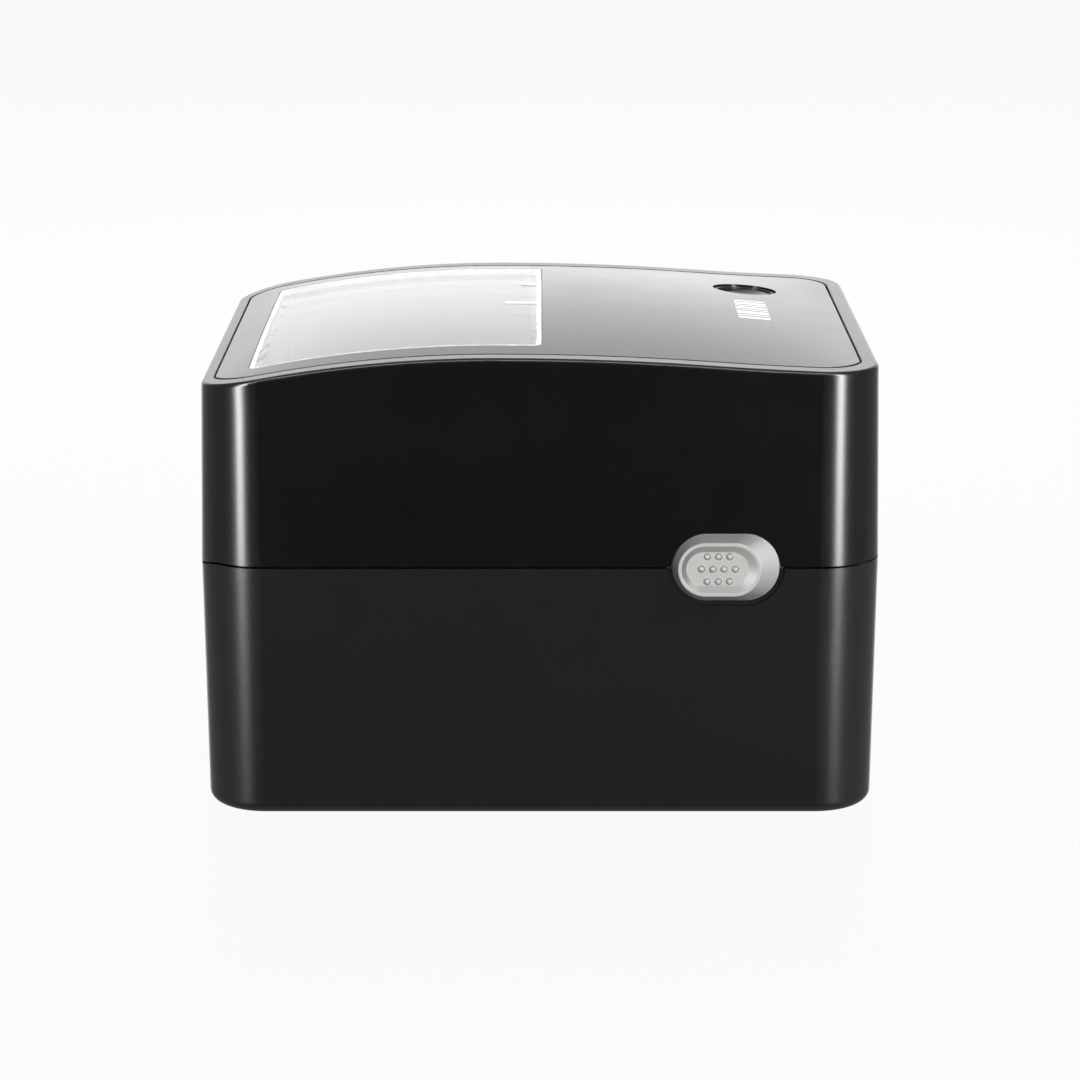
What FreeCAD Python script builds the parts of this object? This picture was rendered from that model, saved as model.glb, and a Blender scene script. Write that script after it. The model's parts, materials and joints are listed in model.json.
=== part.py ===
import FreeCAD, Part
import math
import os

# Desktop thermal label printer, in millimetres.
# Origin: centre of the footprint on the table. +Z up, -Y towards the label outlet, X across the width.

os.makedirs("parts", exist_ok=True)
V = FreeCAD.Vector

# ---------------------------------------------------------------- driving dimensions: housing
WIDTH = 178.0            # across the seam, X
LENGTH = 215.0           # across the seam, Y
CORNER_R = 20.0          # plan corners at the seam
WALL = 2.5
SEAM_Z = 84.0            # parting line between the shells
SEAM_GAP = 0.7
SEAM_DIP = 2.3           # the parting line drops by this at the rear
DIP_START_Y = 100.0
DIP_END_Y = 107.4
FOOT_H = 2.5             # the case stands this far off the table
UPPER_DRAFT = 1.22       # degrees
LOWER_DRAFT = 0.62
BOTTOM_FILLET = 3.5
FLOOR_T = 2.5
FLOOR_Z = FOOT_H + FLOOR_T
LIP_T = 1.2              # light lip inside the seam
LIP_TOP_Z = 86.2

# ---------------------------------------------------------------- driving dimensions: top surface
CREST_Y = 14.0           # highest line of the arched rim
CREST_Z = 150.3
REAR_ARCH_R = 410.0
FRONT_ARCH_R = 950.0
TURN_Y = -55.0           # the arch turns hollow in front of this line
FRONT_HOLLOW_R = 900.0
CROWN_H = 2.8            # the panel swells by this above the rim
PANEL_HALF_X = 80.0
PANEL_FRONT_Y = -100.5
PANEL_REAR_Y = 102.0
PANEL_R = 14.0
PANEL_T = 2.0
PANEL_GROOVE = 0.6
PANEL_EDGE_R = 0.45      # rounding along both sides of the groove
TOP_WALL = 1.8           # upper case under the panel
SURFACE_DEPTH = 90.0     # depth of the solids that carry the top surfaces
RIM_FILLET = 1.3
WINDOW_HALF_X = 69.5
WINDOW_FRONT_Y = -0.5
WINDOW_REAR_Y = 91.5
WINDOW_R = 3.0
WINDOW_GAP = 0.25
WINDOW_EDGE_R = 0.35

# ---------------------------------------------------------------- driving dimensions: lid hinge
HINGE_Y = 101.0
HINGE_Z = 88.0
HINGE_BARREL_R = 4.5
HINGE_PIN_R = 1.5
LID_OPEN_DEG = 80.0
EAR_SPANS = ((56.0, 59.0), (68.0, 71.0))
KNUCKLE_SPAN = (59.3, 67.7)
RUN = 0.05               # radial clearance of a running fit

# ---------------------------------------------------------------- driving dimensions: fasteners
PILOT_R = 1.2            # thread-forming screw in plastic
CLEAR_R = 1.7            # clearance hole for the same screw
HEAD_R = 2.6
SMALL_PILOT_R = 0.9

# ---------------------------------------------------------------- driving dimensions: media bay
ROLL_Y = 22.0            # axis of the label roll
ROLL_Z = 77.0
BAY_R = 66.0
BAY_HALF_X = 62.5
SHELL_T = 2.0
DECK_Z0, DECK_Z1 = 78.0, 80.0
GUIDE_HALF_GAP = 59.0    # inner face of each side guide at its widest setting
GUIDE_T = 2.8
HUB_R = 12.3             # fits a 25.4 mm core
HUB_LEN = 8.0
STUB_R = 3.0
GUIDE_MODULE = 0.8
GUIDE_PINION_TEETH = 18
GUIDE_PINION_Y = -57.0
GUIDE_RACK_Z0, GUIDE_RACK_Z1 = 66.0, 70.0

# ---------------------------------------------------------------- driving dimensions: printing mechanism
PLATEN_Y, PLATEN_Z = -86.0, 75.0
PLATEN_R = 8.0
PLATEN_HALF_X = 57.0
PLATEN_CORE_R = 4.0
JOURNAL_R = 2.5
CHEEK_X0, CHEEK_X1 = 61.5, 66.0
GEAR_MODULE = 0.8
PLATEN_TEETH = 28
IDLER_SMALL_TEETH = 16
IDLER_BIG_TEETH = 36
MOTOR_TEETH = 16
IDLER_Y, IDLER_Z = -80.0, 58.4
MOTOR_Y, MOTOR_Z = -72.0, 39.1
MOTOR_R = 17.5
MOTOR_X0, MOTOR_X1 = 40.0, 64.9
PLATE_X0, PLATE_X1 = 66.2, 67.7
IDLER_PIN_R = 2.0
MOTOR_SHAFT_R = 1.5
PRESSURE_ANGLE = 20.0
ADDENDUM = 0.95          # in modules
DEDENDUM = 1.2
BACKLASH = 0.12
HEAD_PIVOT_Y, HEAD_PIVOT_Z = -66.0, 95.0
HEAD_AXLE_R = 1.5
HEAD_HALF_X = 56.0

# ---------------------------------------------------------------- driving dimensions: buttons
RELEASE_Y, RELEASE_Z = -58.1, 84.2
RELEASE_LEN, RELEASE_H = 33.4, 21.4
FACE_LEN, FACE_H = 25.8, 17.1
FACE_SHIFT_Y = 2.1
RELEASE_PROUD = 2.7
RELEASE_GAP = 0.35
RIM_EDGE_R = 0.4
DOT_R, DOT_SINK = 1.4, 0.65     # grip dots are ball caps, sunk by this into the scoop
DOT_PITCH = 3.5
DOT_ROWS = ((4.0, 3), (0.0, 4), (-4.0, 3))
FEED_X, FEED_Y = 44.0, -70.7
LATCH_POST_X = 71.8
LATCH_LEAF_X = 74.7      # back of the spring leaf
LATCH_T = 0.6
LATCH_HALF_W = 5.0
LATCH_NOSE_Z = 90.2
LATCH_SCREW_Z = 66.0
FEED_HOLE_R = 11.0
FEED_RING_IN_R = 9.2
FEED_BUTTON_R = 8.9


# ---------------------------------------------------------------- helpers
def box(x0, x1, y0, y1, z0, z1):
    return Part.makeBox(x1 - x0, y1 - y0, z1 - z0, V(x0, y0, z0))


def rod_x(x0, x1, y, z, radius):
    return Part.makeCylinder(radius, x1 - x0, V(x0, y, z), V(1, 0, 0))


def rod_y(y0, y1, x, z, radius):
    return Part.makeCylinder(radius, y1 - y0, V(x, y0, z), V(0, 1, 0))


def rod_z(z0, z1, x, y, radius):
    return Part.makeCylinder(radius, z1 - z0, V(x, y, z0), V(0, 0, 1))


def fuse(*shapes):
    return shapes[0].multiFuse(list(shapes[1:])).removeSplitter()


def cut(shape, *tools):
    return shape.cut(list(tools))


def mirrored(shape):
    """The same piece on the other side of the printer."""
    return shape.mirror(V(0, 0, 0), V(1, 0, 0))


def both_sides(shape):
    return Part.makeCompound([shape, mirrored(shape)])


def rounded_rect(width, length, radius, z, y_mid=0.0):
    """Closed wire of a rounded rectangle at height z, centred on X = 0."""
    hx, hy = width / 2, length / 2
    inner = radius * (1 - math.sqrt(0.5))
    edges = []
    corners = ((1, -1), (1, 1), (-1, 1), (-1, -1))
    for i, (sx, sy) in enumerate(corners):
        nx, ny = corners[(i + 1) % 4]
        if i % 2 == 0:
            a = V(sx * hx, y_mid + sy * (hy - radius), z)
            b = V(nx * hx, y_mid + ny * (hy - radius), z)
            c = V(nx * (hx - radius), y_mid + ny * hy, z)
        else:
            a = V(sx * (hx - radius), y_mid + sy * hy, z)
            b = V(nx * (hx - radius), y_mid + ny * hy, z)
            c = V(nx * hx, y_mid + ny * (hy - radius), z)
        mid = V(nx * (hx - inner), y_mid + ny * (hy - inner), z)
        edges.append(Part.makeLine(a, b))
        edges.append(Part.Arc(b, mid, c).toShape())
    return Part.Wire(edges)


def rounded_prism(half_x, y0, y1, radius, z0, z1):
    wire = rounded_rect(2 * half_x, y1 - y0, radius, z0, (y0 + y1) / 2)
    return Part.Face(wire).extrude(V(0, 0, z1 - z0))


def drafted_prism(inset, draft, z0, z1):
    """The housing's plan shape moved in by inset, with walls leaning by draft degrees from the seam."""
    rings = []
    for z in (z0, z1):
        lean = inset + math.tan(math.radians(draft)) * (z - SEAM_Z)
        rings.append(rounded_rect(WIDTH - 2 * lean, LENGTH - 2 * lean, CORNER_R - lean, z))
    return Part.makeLoft(rings, True, True)


def yz_prism(edges, x0, x1):
    """Closed outline drawn at X = 0, extruded from x0 to x1."""
    face = Part.Face(Part.Wire(edges))
    face.translate(V(x0, 0, 0))
    return face.extrude(V(x1 - x0, 0, 0))


def yz_polygon(points, x0, x1):
    corners = [V(0, y, z) for y, z in points]
    corners.append(corners[0])
    return yz_prism([Part.makeLine(a, b) for a, b in zip(corners, corners[1:])], x0, x1)


def stadium_x(length, height, x0, x1, y_mid, z_mid):
    """Slot-shaped prism along X, its long side along Y."""
    reach = (length - height) / 2
    body = box(x0, x1, y_mid - reach, y_mid + reach, z_mid - height / 2, z_mid + height / 2)
    ends = [rod_x(x0, x1, y_mid + s * reach, z_mid, height / 2) for s in (-1, 1)]
    return fuse(body, *ends)


def stadium_wire(length, height, x, y_mid, z_mid):
    reach, r = (length - height) / 2, height / 2
    top = Part.makeLine(V(x, y_mid - reach, z_mid + r), V(x, y_mid + reach, z_mid + r))
    rear = Part.Arc(V(x, y_mid + reach, z_mid + r), V(x, y_mid + reach + r, z_mid),
                    V(x, y_mid + reach, z_mid - r)).toShape()
    low = Part.makeLine(V(x, y_mid + reach, z_mid - r), V(x, y_mid - reach, z_mid - r))
    front = Part.Arc(V(x, y_mid - reach, z_mid - r), V(x, y_mid - reach - r, z_mid),
                     V(x, y_mid - reach, z_mid + r)).toShape()
    return Part.Wire([top, rear, low, front])


def coil(radius, wire_r, height, turns, start, axis):
    """Open coil spring from start along axis."""
    helix = Part.makeHelix(height / turns, height, radius)
    ring = Part.Wire(Part.makeCircle(wire_r, V(radius, 0, 0), V(0, 1, 0)))
    spring = Part.Wire(helix).makePipeShell([ring], True, True)
    spring.Placement = FreeCAD.Placement(start, FreeCAD.Rotation(V(0, 0, 1), axis))
    return spring


def screw(x, y, z_head, length, shank_r, head_r, head_h, down=True):
    """Pan-head screw whose head rests at z_head, with its shank pointing down or up."""
    s = -1 if down else 1
    shank = Part.makeCylinder(shank_r, length, V(x, y, z_head), V(0, 0, s))
    head = Part.makeCylinder(head_r, head_h, V(x, y, z_head), V(0, 0, -s))
    slot = box(x - head_r, x + head_r, y - 0.35, y + 0.35, -0.6, 0.6)
    slot.translate(V(0, 0, z_head - s * head_h))
    return fuse(shank, head).cut(slot)


# ---------------------------------------------------------------- seam, arch and crown
def below_seam(offset):
    """Everything under the parting line, moved up by offset."""
    high, low = SEAM_Z + offset, SEAM_Z - SEAM_DIP + offset
    middle_y = (DIP_START_Y + DIP_END_Y) / 2
    dip = Part.BezierCurve()
    dip.setPoles([V(0, DIP_START_Y, high), V(0, middle_y, high), V(0, DIP_END_Y, low)])
    front, rear, floor = -LENGTH, LENGTH, -20.0
    edges = [
        Part.makeLine(V(0, front, high), V(0, DIP_START_Y, high)),
        dip.toShape(),
        Part.makeLine(V(0, DIP_END_Y, low), V(0, rear, low)),
        Part.makeLine(V(0, rear, low), V(0, rear, floor)),
        Part.makeLine(V(0, rear, floor), V(0, front, floor)),
        Part.makeLine(V(0, front, floor), V(0, front, high)),
    ]
    return yz_prism(edges, -WIDTH, WIDTH)


TURN_ANGLE = math.asin((CREST_Y - TURN_Y) / FRONT_ARCH_R)
HOLLOW_Y = CREST_Y - (FRONT_ARCH_R + FRONT_HOLLOW_R) * math.sin(TURN_ANGLE)
HOLLOW_Z = CREST_Z - FRONT_ARCH_R + (FRONT_ARCH_R + FRONT_HOLLOW_R) * math.cos(TURN_ANGLE)


def rim_z(y):
    """Height of the arched rim: two convex arcs from the crest and a hollow arc at the front."""
    if y >= CREST_Y:
        return CREST_Z - REAR_ARCH_R + math.sqrt(REAR_ARCH_R ** 2 - (y - CREST_Y) ** 2)
    if y >= TURN_Y:
        return CREST_Z - FRONT_ARCH_R + math.sqrt(FRONT_ARCH_R ** 2 - (y - CREST_Y) ** 2)
    return HOLLOW_Z - math.sqrt(FRONT_HOLLOW_R ** 2 - (y - HOLLOW_Y) ** 2)


def crown_z(x, y):
    """Height of the swelling top panel; it meets the rim all round its outline."""
    y_mid = (PANEL_FRONT_Y + PANEL_REAR_Y) / 2
    half_y = (PANEL_REAR_Y - PANEL_FRONT_Y) / 2
    across = 1 - (x / PANEL_HALF_X) ** 2
    along = 1 - ((y - y_mid) / half_y) ** 4
    return rim_z(y) + CROWN_H * across * along


def under_rim():
    """Everything below the arched rim surface."""
    front, rear, floor = -LENGTH / 2 - 3, LENGTH / 2 + 3, 60.0

    def arc(y0, y1):
        ends = [V(0, y, rim_z(y)) for y in (y0, (y0 + y1) / 2, y1)]
        return Part.Arc(*ends).toShape()

    edges = [
        arc(rear, CREST_Y),
        arc(CREST_Y, TURN_Y),
        arc(TURN_Y, front),
        Part.makeLine(V(0, front, rim_z(front)), V(0, front, floor)),
        Part.makeLine(V(0, front, floor), V(0, rear, floor)),
        Part.makeLine(V(0, rear, floor), V(0, rear, rim_z(rear))),
    ]
    return yz_prism(edges, -WIDTH, WIDTH)


def under_crown(drop):
    """Everything below the crowned panel surface lowered by drop."""
    half_x, half_y = WIDTH / 2, LENGTH / 2
    columns, rows = 8, 28
    grid = []
    for i in range(columns + 1):
        x = -half_x + 2 * half_x * i / columns
        ys = [-half_y + 2 * half_y * j / rows for j in range(rows + 1)]
        grid.append([V(x, y, crown_z(x, y) - drop) for y in ys])
    surface = Part.BSplineSurface()
    surface.interpolate(grid)
    return surface.toShape().extrude(V(0, 0, -SURFACE_DEPTH))


PANEL_UNDER = under_crown(PANEL_T)
CAVITY_UNDER = under_crown(PANEL_T + TOP_WALL)
LINER_UNDER = under_crown(PANEL_T + TOP_WALL + 0.3)


def side_button_hole(extra, x0, x1):
    return stadium_x(RELEASE_LEN + 2 * extra, RELEASE_H + 2 * extra, x0, x1, RELEASE_Y, RELEASE_Z)


def top_edges(shape, height_at):
    """Edges of a shape that lie on the surface given by height_at."""
    found = []
    for e in shape.Edges:
        middle = e.valueAt((e.FirstParameter + e.LastParameter) / 2)
        if abs(height_at(middle.x, middle.y) - middle.z) < 0.05:
            found.append((e, middle))
    return found


# ---------------------------------------------------------------- lower case
FOOT_SPOTS = [(sx * 68.0, sy * 84.0) for sx in (-1, 1) for sy in (-1, 1)]
FOOT_R = 8.0
FOOT_RECESS = 0.8
TRAY_SCREW_X = 34.0
TRAY_FRONT_Y, TRAY_REAR_Y = -98.0, 95.0
TRAY_TAB_Z0, TRAY_TAB_Z1 = 56.0, 58.0    # the tray's rear tabs
TRAY_POSTS = ((TRAY_SCREW_X, TRAY_FRONT_Y, DECK_Z0), (TRAY_SCREW_X, TRAY_REAR_Y, TRAY_TAB_Z0))
POST_R = 3.5
POST_BORE_DEPTH = 12.0
BOARD_SPOTS = [(sx * 52.0, y) for sx in (-1, 1) for y in (54.0, 96.5)]
BOARD_POST_R = 3.0
BOARD_SCREW_R = 1.0
BOARD_Z = 11.0
BOARD_T = 1.6
PORT_FACE_Y = 103.0      # floor of the shallow recess round the rear ports
PORT_X0, PORT_X1 = -66.0, 56.0
PORT_Z0, PORT_Z1 = 9.5, 37.0
PORT_CORNER_R = 3.0
USB_X, USB_Z0 = 20.0, BOARD_Z + BOARD_T
USB_HALF_W, USB_H = 6.0, 10.9
JACK_X, JACK_HALF_W, JACK_H = 44.0, 4.6, 10.8
JACK_Z = USB_Z0 + 6.2
JACK_COLLAR_R = 4.2
SWITCH_X, SWITCH_Z = -50.0, 26.0
SWITCH_HALF_W, SWITCH_HALF_H = 9.4, 6.4
FANFOLD_HALF_X, FANFOLD_Z0, FANFOLD_Z1 = 55.0, 64.0, 70.0
OUTLET_HALF_X = 60.0
OUTLET_Z0, OUTLET_Z1 = 81.8, 88.4
VENT_COUNT, VENT_PITCH, VENT_LEN, VENT_W = 11, 5.0, 24.0, 2.0
VENT_Y = -30.0
EAR_HALF_T = 3.6         # hinge ears and knuckle arms, front to back


def lid_edge_sweep():
    """Space that the lid's rear edge passes through as the lid opens."""
    gap = 0.3
    ring = drafted_prism(-gap, 0, 70, HINGE_Z - 1).cut(drafted_prism(WALL + gap, 0, 60, HINGE_Z + 1))
    ring = ring.common(box(-WIDTH, WIDTH, HINGE_Y, LENGTH, 60, HINGE_Z + 1))
    ring = ring.cut(below_seam(SEAM_GAP / 2 - gap))
    low_faces = [f for f in ring.Faces if f.normalAt(*f.Surface.parameter(f.CenterOfMass)).z < -0.3]
    swept = [f.revolve(V(0, HINGE_Y, HINGE_Z), V(-1, 0, 0), LID_OPEN_DEG + 6) for f in low_faces]
    return swept


def vent_slots():
    """Row of cooling slots through the floor."""
    slots = []
    for i in range(VENT_COUNT):
        x = (i - (VENT_COUNT - 1) / 2) * VENT_PITCH
        slots.append(box(x - VENT_W / 2, x + VENT_W / 2, VENT_Y - VENT_LEN / 2, VENT_Y + VENT_LEN / 2,
                         0, FLOOR_Z + 1))
    return slots


def port_recess():
    """Round-cornered pocket in the rear wall, cut from outside."""
    recess = box(PORT_X0, PORT_X1, PORT_FACE_Y, LENGTH, PORT_Z0, PORT_Z1)
    along_y = [e for e in recess.Edges if e.BoundBox.YLength > 50]
    return recess.makeFillet(PORT_CORNER_R, along_y)


def hinge_ears():
    """Barrels and stems on the rear wall that carry the lid's pins."""
    y0, y1, wall_y = HINGE_Y - EAR_HALF_T, HINGE_Y + EAR_HALF_T, LENGTH / 2 - 1
    stem = ((y0, 72), (wall_y, 72), (wall_y, 78.4), (y1, 79), (y1, HINGE_Z), (y0, HINGE_Z))
    ears = []
    for s in (-1, 1):
        for a, b in EAR_SPANS:
            x0, x1 = sorted((s * a, s * b))
            ears.append(rod_x(x0, x1, HINGE_Y, HINGE_Z, HINGE_BARREL_R))
            ears.append(yz_polygon(stem, x0, x1))
    return ears


def seam_lip():
    """Light lip inside the seam along both sides, clear of the hinge and of the label outlet."""
    low_z = SEAM_Z - 6
    lower_part = drafted_prism(WALL - 0.2, 0, low_z, SEAM_Z - SEAM_GAP / 2)
    upper_part = drafted_prism(WALL + 0.3, 0, low_z, LIP_TOP_Z)
    inside = drafted_prism(WALL + 0.3 + LIP_T, 0, low_z - 1, LIP_TOP_Z + 1)
    end_y = LENGTH / 2 - CORNER_R - 1
    return cut(fuse(lower_part, upper_part), inside,
               box(-WIDTH, WIDTH, end_y, LENGTH, low_z - 1, LIP_TOP_Z + 1),
               box(-WIDTH, WIDTH, -LENGTH, -end_y, low_z - 1, LIP_TOP_Z + 1))


def lower_case():
    outer = drafted_prism(0, -LOWER_DRAFT, FOOT_H, SEAM_Z)
    bottom = [e for e in outer.Edges if e.BoundBox.ZMax < FOOT_H + 0.1]
    outer = outer.makeFillet(BOTTOM_FILLET, bottom)
    shell = outer.cut(drafted_prism(WALL, -LOWER_DRAFT, FLOOR_Z, SEAM_Z + 1))
    shell = shell.common(below_seam(-SEAM_GAP / 2)).cut(lid_edge_sweep())
    solids = [shell, seam_lip()]
    for x, y, top in TRAY_POSTS:
        for s in (-1, 1):
            solids.append(rod_z(FLOOR_Z - 1, top, s * x, y, POST_R))
    for x, y in BOARD_SPOTS:
        solids.append(rod_z(FLOOR_Z - 1, BOARD_Z, x, y, BOARD_POST_R))
    solids += hinge_ears()
    solids.append(box(PORT_X0 - WALL, PORT_X1 + WALL, PORT_FACE_Y - WALL, LENGTH / 2 - 1.5,
                      PORT_Z0 - WALL, PORT_Z1 + WALL))
    case = fuse(*solids)
    tools = [port_recess()]
    for s in (-1, 1):
        hole = side_button_hole(RELEASE_GAP, 80, 95)
        around = side_button_hole(2.2, WIDTH / 2 - WALL - 2, WIDTH / 2 - WALL - 0.1)
        recess = side_button_hole(1.9, WIDTH / 2 - 1.2, 95)
        tools += [t if s > 0 else mirrored(t) for t in (hole, around, recess)]
        tools.append(rod_x(min(s * 55, s * 72), max(s * 55, s * 72), HINGE_Y, HINGE_Z, HINGE_PIN_R))
    for x, y, top in TRAY_POSTS:
        for s in (-1, 1):
            tools.append(rod_z(top - POST_BORE_DEPTH, top + 1, s * x, y, PILOT_R))
    for x, y in BOARD_SPOTS:
        tools.append(rod_z(FLOOR_Z, BOARD_Z + 1, x, y, BOARD_SCREW_R))
    for x, y in FOOT_SPOTS:
        tools.append(rod_z(0, FOOT_H + FOOT_RECESS, x, y, FOOT_R + 0.05))
    port0, port1 = PORT_FACE_Y - WALL - 1, PORT_FACE_Y + 1
    tools += [
        box(-FANFOLD_HALF_X, FANFOLD_HALF_X, LENGTH / 2 - 6, LENGTH / 2 + 1, FANFOLD_Z0, FANFOLD_Z1),
        box(USB_X - USB_HALF_W - 0.3, USB_X + USB_HALF_W + 0.3, port0, port1,
            USB_Z0 - 0.3, USB_Z0 + USB_H + 0.3),
        rod_y(port0, port1, JACK_X, JACK_Z, JACK_COLLAR_R + 0.2),
        box(SWITCH_X - SWITCH_HALF_W - 0.1, SWITCH_X + SWITCH_HALF_W + 0.1, port0, port1,
            SWITCH_Z - SWITCH_HALF_H - 0.1, SWITCH_Z + SWITCH_HALF_H + 0.1),
        box(-OUTLET_HALF_X, OUTLET_HALF_X, -LENGTH, -LENGTH / 2 + 5, OUTLET_Z0, 100),
    ]
    tools += vent_slots()
    return case.cut(tools)


# ---------------------------------------------------------------- upper case and top
LINER_SPOTS = [(s * x, y) for s in (-1, 1) for x, y in ((75.0, -91.0), (78.5, 70.0))]
LINER_Z0, LINER_Z1 = 88.0, 90.0
LINER_POST_R = 3.5
WINDOW_LEDGE = 3.5       # the case reaches this far under the window's edge


def hinge_knuckles():
    """Knuckles that turn between the lower case's ears, with arms to the lid's rear wall."""
    y0, y1, wall_y = HINGE_Y - EAR_HALF_T + 1, HINGE_Y + EAR_HALF_T, LENGTH / 2 - 1
    arm = ((y0, HINGE_Z), (y1, HINGE_Z), (y1, 93.8), (wall_y, 93.8), (wall_y, 100), (y0, 100))
    barrel = rod_x(*KNUCKLE_SPAN, HINGE_Y, HINGE_Z, HINGE_BARREL_R)
    knuckle = fuse(barrel, yz_polygon(arm, *KNUCKLE_SPAN))
    return knuckle, mirrored(knuckle)


def upper_case():
    outer = drafted_prism(0, UPPER_DRAFT, SEAM_Z - 6, 165).common(under_rim())
    edge_x, edge_y = WIDTH / 2 - 9, LENGTH / 2 - 9
    rim = []
    for e in outer.Edges:
        mid = e.valueAt((e.FirstParameter + e.LastParameter) / 2)
        if e.BoundBox.ZMin > 135 and (abs(mid.x) > edge_x or abs(mid.y) > edge_y):
            rim.append(e)
    outer = outer.makeFillet(RIM_FILLET, rim)
    outer = outer.cut(below_seam(SEAM_GAP / 2))
    groove = PANEL_GROOVE
    recess = rounded_prism(PANEL_HALF_X + groove, PANEL_FRONT_Y - groove, PANEL_REAR_Y + groove,
                           PANEL_R + groove, 120, 170).cut(PANEL_UNDER)
    cavity = drafted_prism(WALL, UPPER_DRAFT, SEAM_Z - 8, 165).common(CAVITY_UNDER)
    lid = outer.cut(recess)
    inner_rim = [e for e, mid in top_edges(lid, lambda x, y: rim_z(y))
                 if abs(mid.x) < PANEL_HALF_X + 1 and PANEL_FRONT_Y - 1 < mid.y < PANEL_REAR_Y + 1]
    shell = lid.makeFillet(PANEL_EDGE_R, inner_rim).cut(cavity)
    solids = [shell]
    for x, y in LINER_SPOTS:
        post = rod_z(LINER_Z1 + 0.05, 146, x, y, LINER_POST_R)
        solids.append(post.common(under_crown(PANEL_T + 0.5)))
    notch_z = HINGE_Z + HINGE_BARREL_R + 1
    notch = box(EAR_SPANS[0][0] - 0.4, EAR_SPANS[1][1] + 0.4, HINGE_Y + 2, LENGTH / 2 + 2, 70, notch_z)
    tools = [notch, mirrored(notch)]
    hole = side_button_hole(RELEASE_GAP, 80, 95)
    tools += [hole, mirrored(hole)]
    for s in (-1, 1):
        slot = box(min(s * 80, s * 95), max(s * 80, s * 95), RELEASE_Y - RELEASE_LEN / 2 - RELEASE_GAP,
                   RELEASE_Y + RELEASE_LEN / 2 + RELEASE_GAP, RELEASE_Z - 12, RELEASE_Z + 0.5)
        tools.append(slot)
    tools += [
        box(-OUTLET_HALF_X, OUTLET_HALF_X, -LENGTH, -LENGTH / 2 + 5, 70, OUTLET_Z1),
        rounded_prism(WINDOW_HALF_X - WINDOW_LEDGE, WINDOW_FRONT_Y + WINDOW_LEDGE,
                      WINDOW_REAR_Y - WINDOW_LEDGE, WINDOW_R, 120, 170),
        rod_z(120, 170, FEED_X, FEED_Y, FEED_HOLE_R),
    ]
    case = fuse(fuse(*solids).cut(tools), *hinge_knuckles())
    bores = [rod_z(80, 104, x, y, PILOT_R) for x, y in LINER_SPOTS]
    bores.append(rod_x(-72, 72, HINGE_Y, HINGE_Z, HINGE_PIN_R + RUN))
    return case.cut(bores)


def top_panel():
    plate = rounded_prism(PANEL_HALF_X, PANEL_FRONT_Y, PANEL_REAR_Y, PANEL_R, 120, 170)
    plate = plate.common(under_crown(0)).cut(PANEL_UNDER)
    plate = plate.makeFillet(PANEL_EDGE_R, [e for e, _ in top_edges(plate, crown_z)])
    gap = WINDOW_GAP
    opening = rounded_prism(WINDOW_HALF_X + gap, WINDOW_FRONT_Y - gap, WINDOW_REAR_Y + gap,
                            WINDOW_R + gap, 120, 170)
    return plate.cut([opening, rod_z(120, 170, FEED_X, FEED_Y, FEED_HOLE_R)])


RIB_SPOTS = ((-8.5, 11.0), (27.5, 6.0))      # X and length
RIB_W, RIB_H = 1.4, 0.4


def window():
    """Clear cover over the roll, with two moulded ribs at its front edge."""
    plate = rounded_prism(WINDOW_HALF_X, WINDOW_FRONT_Y, WINDOW_REAR_Y, WINDOW_R, 120, 170)
    plate = plate.common(under_crown(0)).cut(PANEL_UNDER)
    plate = plate.makeFillet(WINDOW_EDGE_R, [e for e, _ in top_edges(plate, crown_z)])
    ribs = []
    for x, length in RIB_SPOTS:
        y0 = WINDOW_FRONT_Y + 0.8
        rib = box(x - RIB_W / 2, x + RIB_W / 2, y0, y0 + length, 120, 170)
        ribs.append(rib.common(under_crown(-RIB_H)).cut(under_crown(PANEL_T / 2)))
    return fuse(plate, *ribs)


WELL_HALF_X, WELL_FRONT_Y, WELL_REAR_Y = 63.6, -44.5, 88.5
WELL_T = 1.5
LINER_HALF_X, LINER_FRONT_Y, LINER_REAR_Y = 83.6, -102.6, 93.0
INSERT_CORNER_R = 15.0   # plan corners of the liner and the tray
HEAD_BAY = (60.5, -99.0, -62.4)
HEAD_BAY_T = 1.5
HEAD_ROOF_Z = 102.0
CABLE_CROSS_Y0, CABLE_CROSS_Y1 = -70.0, -63.0   # where the head cable leaves the head bay


def lid_liner():
    """Inner frame of the lid: skirt, roll well, print-head channel and latch openings."""
    skirt = rounded_prism(LINER_HALF_X, LINER_FRONT_Y, LINER_REAR_Y, INSERT_CORNER_R, LINER_Z0, LINER_Z1)
    well = box(-WELL_HALF_X - WELL_T, WELL_HALF_X + WELL_T, WELL_FRONT_Y - WELL_T, WELL_REAR_Y + WELL_T,
               LINER_Z0, 160).common(LINER_UNDER)
    half_x, y0, y1 = HEAD_BAY
    t = HEAD_BAY_T
    channel = box(-half_x - t, half_x + t, y0 - t, y1 + t, LINER_Z0, HEAD_ROOF_Z + 2)
    liner = fuse(skirt, well, channel)
    tools = [
        box(-WELL_HALF_X, WELL_HALF_X, WELL_FRONT_Y, WELL_REAR_Y, 80, 170),
        box(-half_x, half_x, y0, y1, 80, HEAD_ROOF_Z),
        rod_x(-half_x - 2, half_x + 2, HEAD_PIVOT_Y, HEAD_PIVOT_Z, HEAD_AXLE_R),
    ]
    for x, y in LINER_SPOTS:
        tools.append(rod_z(80, 95, x, y, CLEAR_R))
    slot = box(LATCH_POST_X, 77.2, RELEASE_Y - 7, RELEASE_Y + 7, 80, 95)
    notch = box(80.5, 90, RELEASE_Y - 20, RELEASE_Y + 20, 80, 95)
    gear_relief = box(68.2, 75.2, PLATEN_Y - 10, PLATEN_Y + 10, 80, 88.9)
    cable_slot = box(-half_x - 2, -half_x + 1, CABLE_CROSS_Y0 - 0.5, CABLE_CROSS_Y1 + 0.5, 98.2, 100.0)
    tools += [slot, mirrored(slot), notch, mirrored(notch), gear_relief, cable_slot]
    return liner.cut(tools)


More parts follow.
